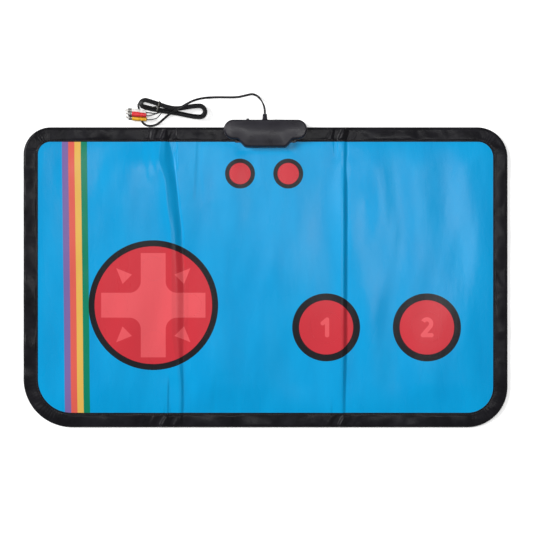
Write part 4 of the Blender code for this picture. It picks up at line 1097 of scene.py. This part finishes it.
def stripe_ink(tree, x, y):
    """Four stripes at the left, a little out of square with the mat: their colour, and where they are."""
    front, back = STRIPES_LEFT
    share = compute(tree, "DIVIDE", plus(tree, y, PRINT_DEPTH / 2), PRINT_DEPTH)
    left = plus(tree, times(tree, share, back - front), front)
    across = compute(tree, "DIVIDE", minus(tree, x, left), STRIPES_WIDTH)
    bands = add_node(tree, "ShaderNodeValToRGB", {"Fac": across})
    bands.color_ramp.interpolation = "CONSTANT"
    stops = bands.color_ramp.elements
    stops[1].position = 0.25
    stops.new(0.5)
    stops.new(0.75)
    for stop, colour in zip(stops, STRIPE_COLOURS):
        stop.color = (*colour, 1)
    return bands.outputs["Color"], within(tree, apart(tree, across, 0.5), 0.5)


def lay_disc(tree, ink, distance, radii):
    """A red disc in a black ring."""
    ink = lay_ink(tree, ink, PRINT_BLACK, within(tree, distance, radii[0]))
    return lay_ink(tree, ink, PRINT_RED, within(tree, distance, radii[1]))


def printed_vinyl():
    made, tree, shader = principled("printed_vinyl", BLUE, 0.32, 0.11)
    place = object_place(tree)
    parts = add_node(tree, "ShaderNodeSeparateXYZ", {"Vector": place})
    x, y = parts.outputs["X"], parts.outputs["Y"]

    # the vinyl's blue, with faint cloudy streaks along the mat's depth: painted sheen and shade, lighter and
    # whiter in some streaks and darker in others
    drawn = add_node(tree, "ShaderNodeMapping", {"Vector": place, "Scale": (1, 0.28, 1)}).outputs["Vector"]
    red, green, blue = BLUE
    ink = two_tone(tree, noise(tree, drawn, 26, 4, 0.55), (red * 0.5, green * 0.92, blue * 0.94),
                   (red * 2.2, green * 1.05, blue * 1.04), 0.32, 0.68)
    ink = lay_ink(tree, ink, *stripe_ink(tree, x, y))

    cx, cy = shifted(tree, x, y, CROSS_PLACE)
    ink = lay_disc(tree, ink, away(tree, cx, cy), CROSS_RADII)
    ink = lay_ink(tree, ink, PRINT_PINK, either(tree, cross_mask(tree, cx, cy), wedge_mask(tree, cx, cy)))
    for name in ("action_pad_one", "action_pad_two", "reset_pad", "start_pad"):
        px, py = shifted(tree, x, y, STEP_PADS[name])
        ink = lay_disc(tree, ink, away(tree, px, py), ROUND_RADII if "action" in name else SMALL_RADII)
        if name == "action_pad_one":
            ink = lay_ink(tree, ink, PRINT_PINK, strokes(tree, px, py, ONE))
        elif name == "action_pad_two":
            ink = lay_ink(tree, ink, PRINT_PINK, numeral_two(tree, px, py))

    # embossed grain, and a satin skin that is more worn in some places
    pebbles = add_node(tree, "ShaderNodeTexVoronoi", {"Vector": place, "Scale": 900}, feature="SMOOTH_F1")
    relief = plus(tree, pebbles.outputs["Distance"], times(tree, noise(tree, place, 2200), 0.35))
    grain = bumped(tree, relief, 0.22, 0.00025)
    wire_up(tree, shader, ink, rescaled(tree, noise(tree, drawn, 14, 5), 0.22, 0.33, 0.3, 0.7),
            bumped(tree, noise(tree, drawn, 150, 3), 0.30, 0.0006, grain))
    return made


def lay_half(layer, material, solids):
    """One half of a layer of the mat: its material, and the solids of two panels that it stands for."""
    layer.data.materials.clear()
    layer.data.materials.append(material)
    if solids:
        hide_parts(*solids)
    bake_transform(layer)


def flat_at(level):
    return lambda xs, ys: np.full(xs.shape, level)


vinyl = printed_vinyl()
for side, panel in PANELS.items():
    outline, columns = half_sheet(side, BORDER - COVER_TUCK, FOLD_HALF_WIDTH, COVER_STEP)
    holes = [ring_of(x, y, radius + PAD_GAP) for x, y, radius in STEP_PADS.values()
             if (x > HALVES_MEET_X) == (side > 0)]
    cover = plate(f"{panel}_half_cover", outline, holes, columns, COVER_STEP, mat_height,
                  flat_at(COVER_UNDER))
    lay_half(cover, vinyl, [f"{panel}_cover", "centre_cover"])

# The step pads: the parts of the same printed sheet over the holes in the foam. Each carries a carbon
# contact underneath, and goes down under a foot until that meets the film below.
for name, (x, y, radius) in STEP_PADS.items():
    count = round(2 * radius / PAD_COLUMN_STEP)
    columns = [x - radius + 2 * radius * i / count for i in range(1, count)]
    rim = ring_of(x, y, radius)
    pad = plate(f"{name}_top", rim, [], columns, PAD_ROW_STEP, mat_height, flat_at(PAD_UNDER), PAD_CLEAR)
    fit(pad, vinyl, name, [name])
    panel = "left" if x < LEFT_FOLD_X else "right" if x > RIGHT_FOLD_X else "centre"
    if name in ("right_pad", "up_pad"):
        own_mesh(pad)

# The edge binding: a strip of black vinyl folded round the mat's edge over a foam cord, gathered at the
# rounded corners and where the mat folds, and sewn with one line of black stitches near its inner edge.
BINDING_LIFT = 0.00045
RIM_REACH = 0.0050
RIM_MIDDLE = 0.0041
RIM_DROP = 0.0040
SEAM_IN = 0.0218
SEAM_HALF = 0.0004
SEAM_DEPTH = 0.00028
BINDING_LOWEST = 0.0076
BINDING_STEP, BINDING_CORNER_STEP = 0.0020, 0.0013
BINDING_COLUMNS_END_X = 0.32
CORNER_CLEAR = 0.001
CORNER_GATHERS = {(-1, 1): 11, (1, 1): 12, (-1, -1): 19, (1, -1): 16}
GATHER_HEIGHT = 0.00026
# soft lumps of the strip, as (height, size across, size along, seed)
LUMPS = ((0.0016, 0.024, 0.021, 55), (0.0008, 0.0095, 0.0095, 89))
PLEAT_HEIGHT = 0.0028
PLEAT_REACH = 0.021
PLEAT_SIZE = (0.0042, 0.02)
STITCH = {"Pitch": 0.0040, "Stitch Length": 0.0030, "Thread Width": 0.00055, "Thread Height": 0.00050}


def edge_stations(side):
    """Stations round one half of the mat's edge: place, way in, and how far round which corner."""
    stations = []
    ends = sorted((HALVES_MEET_X, side * BINDING_COLUMNS_END_X))
    fine = columns_between(*ends, FOLD_X[side], FOLD_HALF_WIDTH, BINDING_STEP)
    half_x, half_y = MAT_WIDTH / 2, MAT_DEPTH / 2
    fine = [HALVES_MEET_X] + sorted(fine, reverse=side < 0)
    for y_side in (-1, 1):
        radius = CORNERS[(side, y_side)]
        reach = half_x - radius
        if y_side < 0:
            straight = [x for x in fine if abs(x) < reach - CORNER_CLEAR]
            stations += [(Vector((x, -half_y)), Vector((0, 1)), None, 0) for x in straight]
        count = round(radius * math.pi / 2 / BINDING_CORNER_STEP)
        cx, cy = side * reach, y_side * (half_y - radius)
        for i in range(count + 1):
            share = i / count
            angle = math.radians(90 * (share - 1) if y_side < 0 else 90 * share)
            out = Vector((side * math.cos(angle), math.sin(angle)))
            stations.append((Vector((cx, cy)) + out * radius, -out, (side, y_side), share))
        if y_side < 0:
            low = -half_y + radius
            high = half_y - CORNERS[(side, 1)]
            rows = round((high - low) / BINDING_STEP)
            stations += [(Vector((side * half_x, low + (high - low) * i / rows)), Vector((-side, 0)), None, 0)
                         for i in range(1, rows)]
        else:
            straight = [x for x in reversed(fine)
                        if side * x > TUB_HALF_WIDTH and abs(x) < reach - CORNER_CLEAR]
            straight.append(side * TUB_HALF_WIDTH)
            stations += [(Vector((x, half_y)), Vector((0, -1)), None, 0) for x in straight]
    return stations


def gather(corner, share, inset):
    """Soft uneven pleats that fan out round a corner, deepest between the rim and the seam."""
    if corner is None:
        return 0.0
    swelling = math.sin(math.pi * share) ** 0.6 * (0.6 + 0.4 * math.sin(9 * share + 2 * corner[1]))
    phase = CORNER_GATHERS[corner] * math.tau * share + 1.6 * math.sin(7 * share + corner[0])
    phase += 0.9 * math.sin(17 * share)
    band = soft((inset - 0.002) / 0.006) * soft((0.0235 - inset) / 0.006)
    return GATHER_HEIGHT * swelling * band * (math.sin(phase) + 0.45 * math.sin(1.7 * phase + 1))


def puckers(x, y, inset, fold):
    """Slack in the strip: soft lumps all along the edge, and short sharp pleats where the mat folds."""
    band = soft((inset + 0.001) / 0.006) * soft((0.0235 - inset) / 0.005)
    lumps = sum(height * swell(x, y, across, along, seed) for height, across, along, seed in LUMPS)
    off = x - fold + (0.026 if fold < 0 else 0.010)
    lean = off + np.where(y > 0, 0.45, -0.55) * (inset - 0.012)
    folds = np.tanh(1.15 * swell(lean, 0.2 * inset, *PLEAT_SIZE, 144))
    return band * (lumps + PLEAT_HEIGHT * np.exp(-(off / PLEAT_REACH) ** 2) * folds)


def binding_section():
    """The strip's section: how far in from the edge, height over the cover, height over the floor."""
    groove = BINDING_LIFT - SEAM_DEPTH
    rows = [(BORDER, -0.00080), (BORDER, 0.0), (BORDER - 0.0001, 0.00030), (BORDER - 0.0005, BINDING_LIFT),
            (SEAM_IN + 0.0009, BINDING_LIFT), (SEAM_IN + SEAM_HALF, groove),
            (SEAM_IN - SEAM_HALF, groove), (SEAM_IN - 0.0009, BINDING_LIFT)]
    rows += [(inset / 1000, BINDING_LIFT + 0.00025 * math.sin(math.pi * (20.5 - inset) / 15)) for inset in
             (19.5, 18, 16.5, 15, 13.5, 12, 10.5, 9, 7.5, 6.2)]
    rows = [(inset, over, None) for inset, over in rows]
    for degrees in range(90, -91, -15):
        angle = math.radians(degrees)
        rows.append((RIM_REACH * (1 - math.cos(angle)), None, RIM_MIDDLE + RIM_DROP * math.sin(angle)))
    below = [(inset, 0.00004) for inset in (0.008, 0.012, 0.016, 0.020, BORDER)]
    below += [(BORDER, 0.00078), (0.018, 0.00080), (0.010, 0.00080), (0.0016, 0.00095)]
    below += [(0.0016, 0.00690), (0.010, 0.00705), (0.018, 0.00705)]
    return rows + [(inset, None, height) for inset, height in below]


def make_binding(side):
    """The binding of one half of the mat, and the line of its seam."""
    stations = edge_stations(side)
    section = binding_section()
    insets = np.array([row[0] for row in section])
    xs = np.array([place.x + inward.x * insets for place, inward, *_ in stations])
    ys = np.array([place.y + inward.y * insets for place, inward, *_ in stations])
    lift = puckers(xs, ys, insets, FOLD_X[side])
    lift += mat_height(xs, ys)
    for row, (*_, corner, share) in zip(lift, stations):
        row += gather(corner, share, insets)
    rim = next(k for k, row in enumerate(section) if row[1] is None)
    inner_wrap = len(section) - 4
    rows = []
    for i in range(len(stations)):
        rim_top = max(lift[i][rim] + BINDING_LIFT, BINDING_LOWEST)
        row = []
        for k, (_, over, height) in enumerate(section):
            if over is not None:
                z = max(lift[i][k] + over, BINDING_LOWEST)
            elif k < inner_wrap and height > RIM_MIDDLE:
                z = RIM_MIDDLE + (height - RIM_MIDDLE) * (rim_top - RIM_MIDDLE) / RIM_DROP
            else:
                z = height
            row.append(Vector((xs[i][k], ys[i][k], z)))
        rows.append(row)
    first, last = [k for k, inset in enumerate(insets) if abs(abs(inset - SEAM_IN) - SEAM_HALF) < 1e-9]
    seam = [(row[first] + row[last]) / 2 for row in rows]
    return tube_mesh(f"{PANELS[side]}_edge_binding", rows), seam


def binding_vinyl():
    """Black vinyl cloth: satin, finely woven underneath, a little greyer where it is rubbed."""
    made, tree, shader = principled("binding_vinyl", (0.010, 0.010, 0.012), 0.32, 0.08)
    place = object_place(tree)
    rub = noise(tree, place, 38, 6, 0.6)
    pebbles = add_node(tree, "ShaderNodeTexVoronoi", {"Vector": place, "Scale": 1300}, feature="SMOOTH_F1")
    weave = bumped(tree, pebbles.outputs["Distance"], 0.30, 0.0002)
    wire_up(tree, shader, two_tone(tree, rub, (0.0028, 0.0026, 0.0040), (0.0095, 0.0090, 0.0120), 0.38, 0.72),
            rescaled(tree, rub, 0.25, 0.38, 0.3, 0.7),
            bumped(tree, noise(tree, place, 120, 4), 0.45, 0.0007, weave))
    return made


def stitch_tree():
    """Stitches laid end to end along a path, each an oval that sinks into the vinyl at both ends."""
    tree = bpy.data.node_groups.new("seam_stitches", "GeometryNodeTree")
    tree.interface.new_socket("Path", in_out="INPUT", socket_type="NodeSocketGeometry")
    for name in STITCH:
        tree.interface.new_socket(name, in_out="INPUT", socket_type="NodeSocketFloat")
    tree.interface.new_socket("Thread Material", in_out="INPUT", socket_type="NodeSocketMaterial")
    tree.interface.new_socket("Stitches", in_out="OUTPUT", socket_type="NodeSocketGeometry")
    given = add_node(tree, "NodeGroupInput").outputs
    curve = add_node(tree, "GeometryNodeMeshToCurve", {"Mesh": given["Path"]}).outputs["Curve"]
    spaced = add_node(tree, "GeometryNodeResampleCurve", {"Curve": curve, "Length": given["Pitch"]},
                      mode="LENGTH")
    way = add_node(tree, "GeometryNodeInputTangent").outputs["Tangent"]
    turn = add_node(tree, "FunctionNodeAlignRotationToVector", {"Vector": way}, axis="X")
    oval = add_node(tree, "GeometryNodeMeshUVSphere", {"Segments": 8, "Rings": 6, "Radius": 0.5})
    size = add_node(tree, "ShaderNodeCombineXYZ", {
        "X": given["Stitch Length"], "Y": given["Thread Width"], "Z": given["Thread Height"]})
    laid = add_node(tree, "GeometryNodeInstanceOnPoints", {
        "Points": spaced.outputs["Curve"], "Instance": oval.outputs["Mesh"],
        "Rotation": turn.outputs["Rotation"], "Scale": size.outputs["Vector"]})
    real = add_node(tree, "GeometryNodeRealizeInstances", {"Geometry": laid.outputs["Instances"]})
    smooth = add_node(tree, "GeometryNodeSetShadeSmooth", {"Geometry": real.outputs["Geometry"]})
    black = add_node(tree, "GeometryNodeSetMaterial", {
        "Geometry": smooth.outputs["Geometry"], "Material": given["Thread Material"]})
    tree.links.new(black.outputs["Geometry"], add_node(tree, "NodeGroupOutput").inputs["Stitches"])
    return tree


def applied(thing):
    """The piece with its modifiers' result as its plain mesh."""
    shaped = bpy.data.meshes.new_from_object(thing.evaluated_get(bpy.context.evaluated_depsgraph_get()))
    thing.modifiers.clear()
    thing.data = shaped
    return thing


def stitched(name, path, tree, values):
    """The stitches along a path, as a plain mesh."""
    line = bpy.data.meshes.new(name)
    line.from_pydata(path, [(i, i + 1) for i in range(len(path) - 1)], [])
    thing = bpy.data.objects.new(name, line)
    scene.collection.objects.link(thing)
    sewn = thing.modifiers.new("stitches", "NODES")
    sewn.node_group = tree
    for item in tree.interface.items_tree:
        if item.name in values:
            sewn[item.identifier] = values[item.name]
    return applied(thing)


def thread_nylon():
    """Black bonded nylon thread, with the twist of its plies."""
    made, tree, shader = principled("thread_nylon", (0.012, 0.012, 0.014), 0.42, 0.3)
    wave = {"Vector": object_place(tree), "Scale": 620, "Distortion": 1.5}
    plies = add_node(tree, "ShaderNodeTexWave", wave, bands_direction="DIAGONAL").outputs["Fac"]
    wire_up(tree, shader, lay_ink(tree, (0.009, 0.009, 0.010), (0.020, 0.020, 0.023), plies),
            normal=bumped(tree, plies, 0.6, 0.0001))
    return made


black_binding = binding_vinyl()
black_thread = thread_nylon()
seam_tree = stitch_tree()
for side, panel in PANELS.items():
    binding, seam = make_binding(side)
    solids = [f"{panel}_binding", "centre_front_binding", f"centre_back_{panel}_binding"]
    lay_half(binding, black_binding, solids)
    values = {**STITCH, "Thread Material": black_thread}
    stitches = stitched(f"{panel}_seam_stitches", seam, seam_tree, values)
    lay_half(stitches, black_thread, [])

# The backing: a black non-slip cloth with rubber dimples. It lies on the floor, and it too is made in two
# halves, each of which is one piece across its fold.
BACKING_TOP = 0.00076
BACKING_BOTTOM = 0.00004
BACKING_STEP = 0.012
BACKING_INSET = 0.0002


def dimpled_cloth():
    made, tree, shader = principled("dimpled_cloth", (0.018, 0.018, 0.020), 0.8, 0.3)
    place = object_place(tree)
    dots = add_node(tree, "ShaderNodeTexVoronoi", {"Vector": place, "Scale": 330, "Randomness": 0.12})
    dot = rescaled(tree, dots.outputs["Distance"], 1.0, 0.0, 0.18, 0.34, interpolation_type="SMOOTHSTEP")
    relief = plus(tree, dot, times(tree, noise(tree, place, 1500, 3), 0.3))
    wire_up(tree, shader, lay_ink(tree, (0.026, 0.026, 0.028), (0.010, 0.010, 0.011), dot),
            rescaled(tree, dot, 0.88, 0.42), bumped(tree, relief, 0.8, 0.0005))
    return made


cloth = dimpled_cloth()
for side, panel in PANELS.items():
    outline, columns = half_sheet(side, BORDER + BACKING_INSET, BACK_FOLD_HALF_WIDTH, BACKING_STEP)
    backing = plate(f"{panel}_half_backing", outline, [], columns, BACKING_STEP, flat_at(BACKING_TOP),
                    flat_at(BACKING_BOTTOM))
    solids = [f"{panel}_backing", "centre_backing"]
    lay_half(backing, cloth, solids)

# The control box's upper half: a moulded cap of black ABS with a bar behind, a lobe in front, a soft
# rounded rim and a slightly domed top. Three screws from below pull it onto the lower half.
CAP_FOOT = 0.0102
CAP_SHOULDER = 0.0192
CAP_EDGE_TOP = 0.0223
CAP_ROUND = 0.0036
CAP_CROWN = 0.0034
CAP_CROWN_REACH = 0.014
CAP_CROWN_FALL = 0.85
CAP_STEP, CAP_CLEAR = 0.0034, 0.0012
CAP_COLUMNS_FROM, CAP_COLUMNS = -0.068, 41
CAP_WALL = 0.0018
CAP_CEILING = 0.0206
RELIEF_X = -0.001
RELIEF_Z = 0.0167
SLOT_SIDES = (-0.0318, -0.0238)
SLOT_HEIGHTS = (0.0085, 0.0115)
CUT_FROM, CUT_TO = BOX_BACK_Y - 0.0036, BOX_BACK_Y + 0.002
SHARP_EDGE = math.radians(40)


def box_outline(grow=0.0, arc_steps=48, lobe_steps=26):
    radius = BOX_BAR_DEPTH / 2
    middle_y = BOX_BACK_Y - radius
    straight = BOX_BAR_HALF - radius
    front_y = BOX_BACK_Y - BOX_BAR_DEPTH
    points = []
    for side, start in ((1, -90), (-1, 90)):
        for i in range(arc_steps + 1):
            angle = math.radians(start + 180 * i / arc_steps)
            points.append((side * straight + radius * math.cos(angle), middle_y + radius * math.sin(angle)))
    wide, narrow = BOX_LOBE_HALF
    for side in (-1, 1):
        for i in range(1, lobe_steps + 1):
            t = i / lobe_steps if side < 0 else (lobe_steps + 1 - i) / lobe_steps
            points.append((side * (wide + (narrow - wide) * t), front_y - BOX_LOBE_DEPTH * soft(t)))
    if not grow:
        return points
    moved = []
    for i, (x, y) in enumerate(points):
        before, here, after = Vector(points[i - 1]), Vector((x, y)), Vector(points[(i + 1) % len(points)])
        way = ((here - before).normalized() + (after - here).normalized()).normalized()
        moved.append((x + way.y * grow, y - way.x * grow))
    return moved


def cap_top(xs, ys):
    inside = depth_inside(box_outline(), xs, ys) - CAP_ROUND
    along = 1 - CAP_CROWN_FALL * (xs / BOX_BAR_HALF) ** 2
    return CAP_EDGE_TOP + CAP_CROWN * along * (1 - np.exp(-np.maximum(inside, 0) / CAP_CROWN_REACH))


def make_cap():
    bm = bmesh.new()
    base = box_outline()
    lining = [(CAP_WALL, CAP_CEILING), (CAP_WALL, CAP_FOOT)]
    outside = [(0.0, CAP_FOOT), (0.0, (CAP_FOOT + CAP_SHOULDER) / 2), (0.0, CAP_SHOULDER)]
    for degrees in (12, 24, 36, 48, 60, 70, 80, 90):
        angle = math.radians(degrees)
        outside.append((CAP_ROUND * (1 - math.cos(angle)),
                        CAP_SHOULDER + (CAP_EDGE_TOP - CAP_SHOULDER) * math.sin(angle)))
    columns = [CAP_COLUMNS_FROM + CAP_STEP * i for i in range(CAP_COLUMNS)]
    rings = []
    for inset, height in lining + outside:
        loop = spaced_like(base, box_outline(-inset))
        rings.append([bm.verts.new((x, y, height)) for x, y in loop])
    for low, high in zip(rings, rings[1:]):
        for i in range(len(low)):
            j = (i + 1) % len(low)
            bm.faces.new((low[i], low[j], high[j], high[i])).smooth = True
    for ring, level in ((rings[-1], cap_top), (rings[0], flat_at(CAP_CEILING))):
        loop = [(v.co.x, v.co.y) for v in ring]
        xs, ys, faces = filled(loop, [], columns, CAP_STEP, CAP_CLEAR)
        found = {(round(v.co.x, 6), round(v.co.y, 6)): v for v in ring}
        verts = [found.get((round(x, 6), round(y, 6))) or bm.verts.new((x, y, z))
                 for x, y, z in zip(xs, ys, level(xs, ys))]
        for face in faces:
            bm.faces.new([verts[k] for k in face]).smooth = True
    drop_loose(bm)
    bmesh.ops.recalc_face_normals(bm, faces=bm.faces)
    for edge in bm.edges:
        if len(edge.link_faces) == 2 and edge.calc_face_angle() > SHARP_EDGE:
            edge.smooth = False
    return finish_mesh("box_cap", bm)


def spaced_like(base, loop, gap=0.004):
    """A moved outline with extra points, where the one that it was moved from is long and straight."""
    made = []
    for i in range(len(base)):
        j = (i + 1) % len(base)
        count = max(1, round(math.dist(base[i], base[j]) / gap))
        (ax, ay), (bx, by) = loop[i], loop[j]
        made += [(ax + (bx - ax) * k / count, ay + (by - ay) * k / count) for k in range(count)]
    return made


def block_mesh(name, low, high):
    corners = ((low[0], low[1]), (high[0], low[1]), (high[0], high[1]), (low[0], high[1]))
    bm = bmesh.new()
    add_tube(bm, [[Vector((x, y, z)) for x, y in corners] for z in (low[2], high[2])])
    for face in bm.faces:
        face.smooth = False
    return finish_mesh(name, bm)


def oval_rows(stations, steps=40):
    """Rings of an oval section along the mat's depth, as (y, half width, half height)."""
    angles = [math.tau * k / steps for k in range(steps)]
    return [[Vector((RELIEF_X + wide * math.cos(a), y, RELIEF_Z + high * math.sin(a))) for a in angles]
            for y, wide, high in stations]


def carved(thing, tools):
    """The piece with tools cut away, as one plain mesh."""
    for tool in tools:
        cut = thing.modifiers.new(tool.name, "BOOLEAN")
        cut.operation = "DIFFERENCE"
        cut.object = tool
        cut.solver = "EXACT"
    applied(thing)
    for tool in tools:
        bpy.data.objects.remove(tool)


def case_plastic(name="case_plastic", roughness=0.30):
    """Black ABS from a finely etched mould."""
    made, tree, shader = principled(name, (0.012, 0.0110, 0.0155), roughness, 0.17)
    place = object_place(tree)
    handled = noise(tree, place, 45, 5)
    tone = two_tone(tree, handled, (0.0085, 0.0075, 0.0115), (0.0145, 0.0135, 0.0190), 0.3, 0.75)
    wire_up(tree, shader, tone, rescaled(tree, handled, roughness - 0.05, roughness + 0.08, 0.3, 0.7),
            bumped(tree, noise(tree, place, 1600, 4, 0.7), 0.35, 0.00012))
    return made


abs_black = case_plastic()
cap = make_cap()
slot_tool = block_mesh("slot_tool", (SLOT_SIDES[0], CUT_FROM, SLOT_HEIGHTS[0]),
                       (SLOT_SIDES[1], CUT_TO, SLOT_HEIGHTS[1]))
relief_tool = tube_mesh("relief_tool", oval_rows([(y, 0.0035, 0.0024) for y in (CUT_FROM, CUT_TO)]))
carved(cap, [slot_tool, relief_tool])
fit(cap, abs_black, "centre_panel", ["box_upper_shell"])

# The strain relief: a soft black boot pressed into the box's back wall, with a flange on each side of it
# and four ribs, so that the cord bends over a length.
FLANGE = (0.0044, 0.0031)
NECK = (0.0032, 0.0021)
BOOT_END = 0.2685
RIB_PITCH = 0.00165
inside_wall, outside_wall = BOX_BACK_Y - CAP_WALL - 0.0003, BOX_BACK_Y + 0.0003
boot = [(inside_wall - 0.0015, 0.0040, 0.0027), (inside_wall - 0.0013, *FLANGE),
        (inside_wall - 0.0002, *FLANGE), (inside_wall, 0.0042, 0.0029), (inside_wall, *NECK),
        (outside_wall, *NECK), (outside_wall, 0.0042, 0.0029), (outside_wall + 0.0002, *FLANGE),
        (outside_wall + 0.0013, *FLANGE), (outside_wall + 0.0015, 0.0041, 0.0028)]
for number in range(4):
    y = outside_wall + 0.0017 + RIB_PITCH * number
    wide, high = 0.00425 - 0.00012 * number, 0.00295 - 0.0001 * number
    groove = (wide - 0.0007, high - 0.0006)
    boot += [(y, *groove), (y + 0.00035, *groove), (y + 0.00045, wide, high),
             (y + 0.00125, wide - 0.0001, high - 0.0001), (y + 0.0014, *groove)]
boot += [(BOOT_END - 0.0009, 0.0034, 0.0021), (BOOT_END - 0.0002, 0.0032, 0.0020), (BOOT_END, 0.0028, 0.0017)]
relief = tube_mesh("cord_boot", oval_rows(boot))
fit(relief, case_plastic("boot_vinyl", 0.5), "centre_panel", ["strain_relief"])

# The power switch's slider: a moulded nub that stands out of a slot where the box's halves meet, ridged for
# a fingertip.
NUB_SIDES = (-0.0315, -0.0271)
NUB_BACK = 0.2620
NUB_FRONT = 0.2566
NUB_HEIGHTS = (0.0088, 0.0112)
NUB_RIDGES = 4
NUB_BEVEL = 0.0002


def nub_outline(shrink):
    x0, x1 = NUB_SIDES[0] + shrink, NUB_SIDES[1] - shrink
    points = [(x0, NUB_FRONT), (x1, NUB_FRONT)]
    pitch = (x1 - x0) / NUB_RIDGES
    for ridge in range(NUB_RIDGES):
        right = x1 - pitch * ridge
        points += [(right, NUB_BACK - 0.0005 - shrink), (right - pitch * 0.2, NUB_BACK - shrink),
                   (right - pitch * 0.8, NUB_BACK - shrink)]
    return points + [(x0, NUB_BACK - 0.0005 - shrink)]


low, high = NUB_HEIGHTS
levels = ((low, NUB_BEVEL), (low + NUB_BEVEL, 0.0), (high - NUB_BEVEL, 0.0), (high, NUB_BEVEL))
nub = tube_mesh("switch_nub", [[Vector((x, y, z)) for x, y in nub_outline(shrink)] for z, shrink in levels])
for face in nub.data.polygons:
    face.use_smooth = False
fit(nub, case_plastic("nub_plastic", 0.34), "switch_slider", ["switch_slider"])

# The box's lower half, its battery door and the screws are the plain solids. They are seen from below, and
# the lower half's edge all round the cap.
def dress(material, *names):
    for name in names:
        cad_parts[name].material_slots[0].material = material


dress(abs_black, "box_lower_shell", "battery_door")
dress(nickel("zinc_plate", 0.52, 0.3), "case_screw_1", "case_screw_2", "case_screw_3")


# Inside the mat and the box: white foams, a printed contact film, three cells with their springs, and the
# small board with its sealed chip and the switch. They are seen only where a panel or the box is cut open.
FILM_WHITE = (0.62, 0.63, 0.64)
FOAM_WHITE = (0.78, 0.78, 0.76)


def pored_foam():
    """Closed-cell foam, cut from a block: small pores, some of them open, with painted shade darkening the
    open ones.
    """
    made, tree, shader = principled("pored_foam", FOAM_WHITE, 0.9, 0.2)
    cells = add_node(tree, "ShaderNodeTexVoronoi", {"Vector": object_place(tree), "Scale": 1100})
    pores = cells.outputs["Distance"]
    pore_shade = rescaled(tree, pores, 1.0, 0.0, 0.15, 0.5)
    # the open pores are painted darker: painted shade in their hollows
    wire_up(tree, shader, lay_ink(tree, FOAM_WHITE, [0.72 * part for part in FOAM_WHITE], pore_shade),
            normal=bumped(tree, pores, 0.7, 0.0004))
    return made


def tracked_film():
    """Milky polyester film with carbon tracks side by side."""
    made, tree, shader = principled("tracked_film", FILM_WHITE, 0.25, 0.5)
    wave = {"Vector": object_place(tree), "Scale": 52, "Distortion": 0.3}
    carbon = rescaled(tree, add_node(tree, "ShaderNodeTexWave", wave).outputs["Fac"], 0.0, 1.0, 0.70, 0.76)
    wire_up(tree, shader, lay_ink(tree, FILM_WHITE, (0.02, 0.02, 0.022), carbon),
            rescaled(tree, carbon, 0.22, 0.6))
    return made


def wrapped_cell():
    """An unmarked cell: steel ends, a grey wrap and one copper-coloured band at the plus end."""
    made, tree, shader = principled("wrapped_cell", (0.05, 0.055, 0.06), 0.28, 0.5)
    place = object_place(tree)
    x = add_node(tree, "ShaderNodeSeparateXYZ", {"Vector": place}).outputs["X"]
    band_from, cell_middle, wrap_half = 0.0160, 0.006, 0.0208
    steel = compute(tree, "GREATER_THAN", apart(tree, x, cell_middle), wrap_half)
    scratched = noise(tree, place, 300, 5)
    wrap = lay_ink(tree, (0.040, 0.044, 0.050), (0.060, 0.064, 0.070), scratched)
    wrap = lay_ink(tree, wrap, (0.50, 0.22, 0.09), compute(tree, "GREATER_THAN", x, band_from))
    wire_up(tree, shader, lay_ink(tree, wrap, (0.62, 0.61, 0.59), steel),
            rescaled(tree, scratched, 0.22, 0.36))
    tree.links.new(steel, shader.inputs["Metallic"])
    return made


def printed_board():
    """Green solder mask over copper tracks that run across the board."""
    made, tree, shader = principled("printed_board", (0.012, 0.10, 0.045), 0.3, 0.5)
    tracks = add_node(tree, "ShaderNodeTexBrick", {
        "Vector": object_place(tree), "Scale": 210, "Mortar Size": 0.016, "Color1": (0, 0, 0, 1),
        "Color2": (0.25, 0.25, 0.25, 1), "Mortar": (1, 1, 1, 1)}).outputs
    wire_up(tree, shader, lay_ink(tree, (0.010, 0.085, 0.038), (0.040, 0.190, 0.070), tracks["Color"]),
            normal=bumped(tree, tracks["Fac"], 0.4, 0.00005))
    return made


foam, film = pored_foam(), tracked_film()
for panel in ("left", "centre", "right"):
    dress(foam, f"{panel}_base_foam", f"{panel}_spacer_foam")
    dress(film, f"{panel}_contact_film")
dress(wrapped_cell(), "battery_cell_1", "battery_cell_2", "battery_cell_3")
dress(nickel("spring_steel", 0.60, 0.26), "left_battery_contacts", "right_battery_contacts")
dress(printed_board(), "circuit_board")
dress(case_plastic("resin_drop", 0.16), "game_chip")
dress(nickel("switch_can", 0.56, 0.34), "switch_housing")
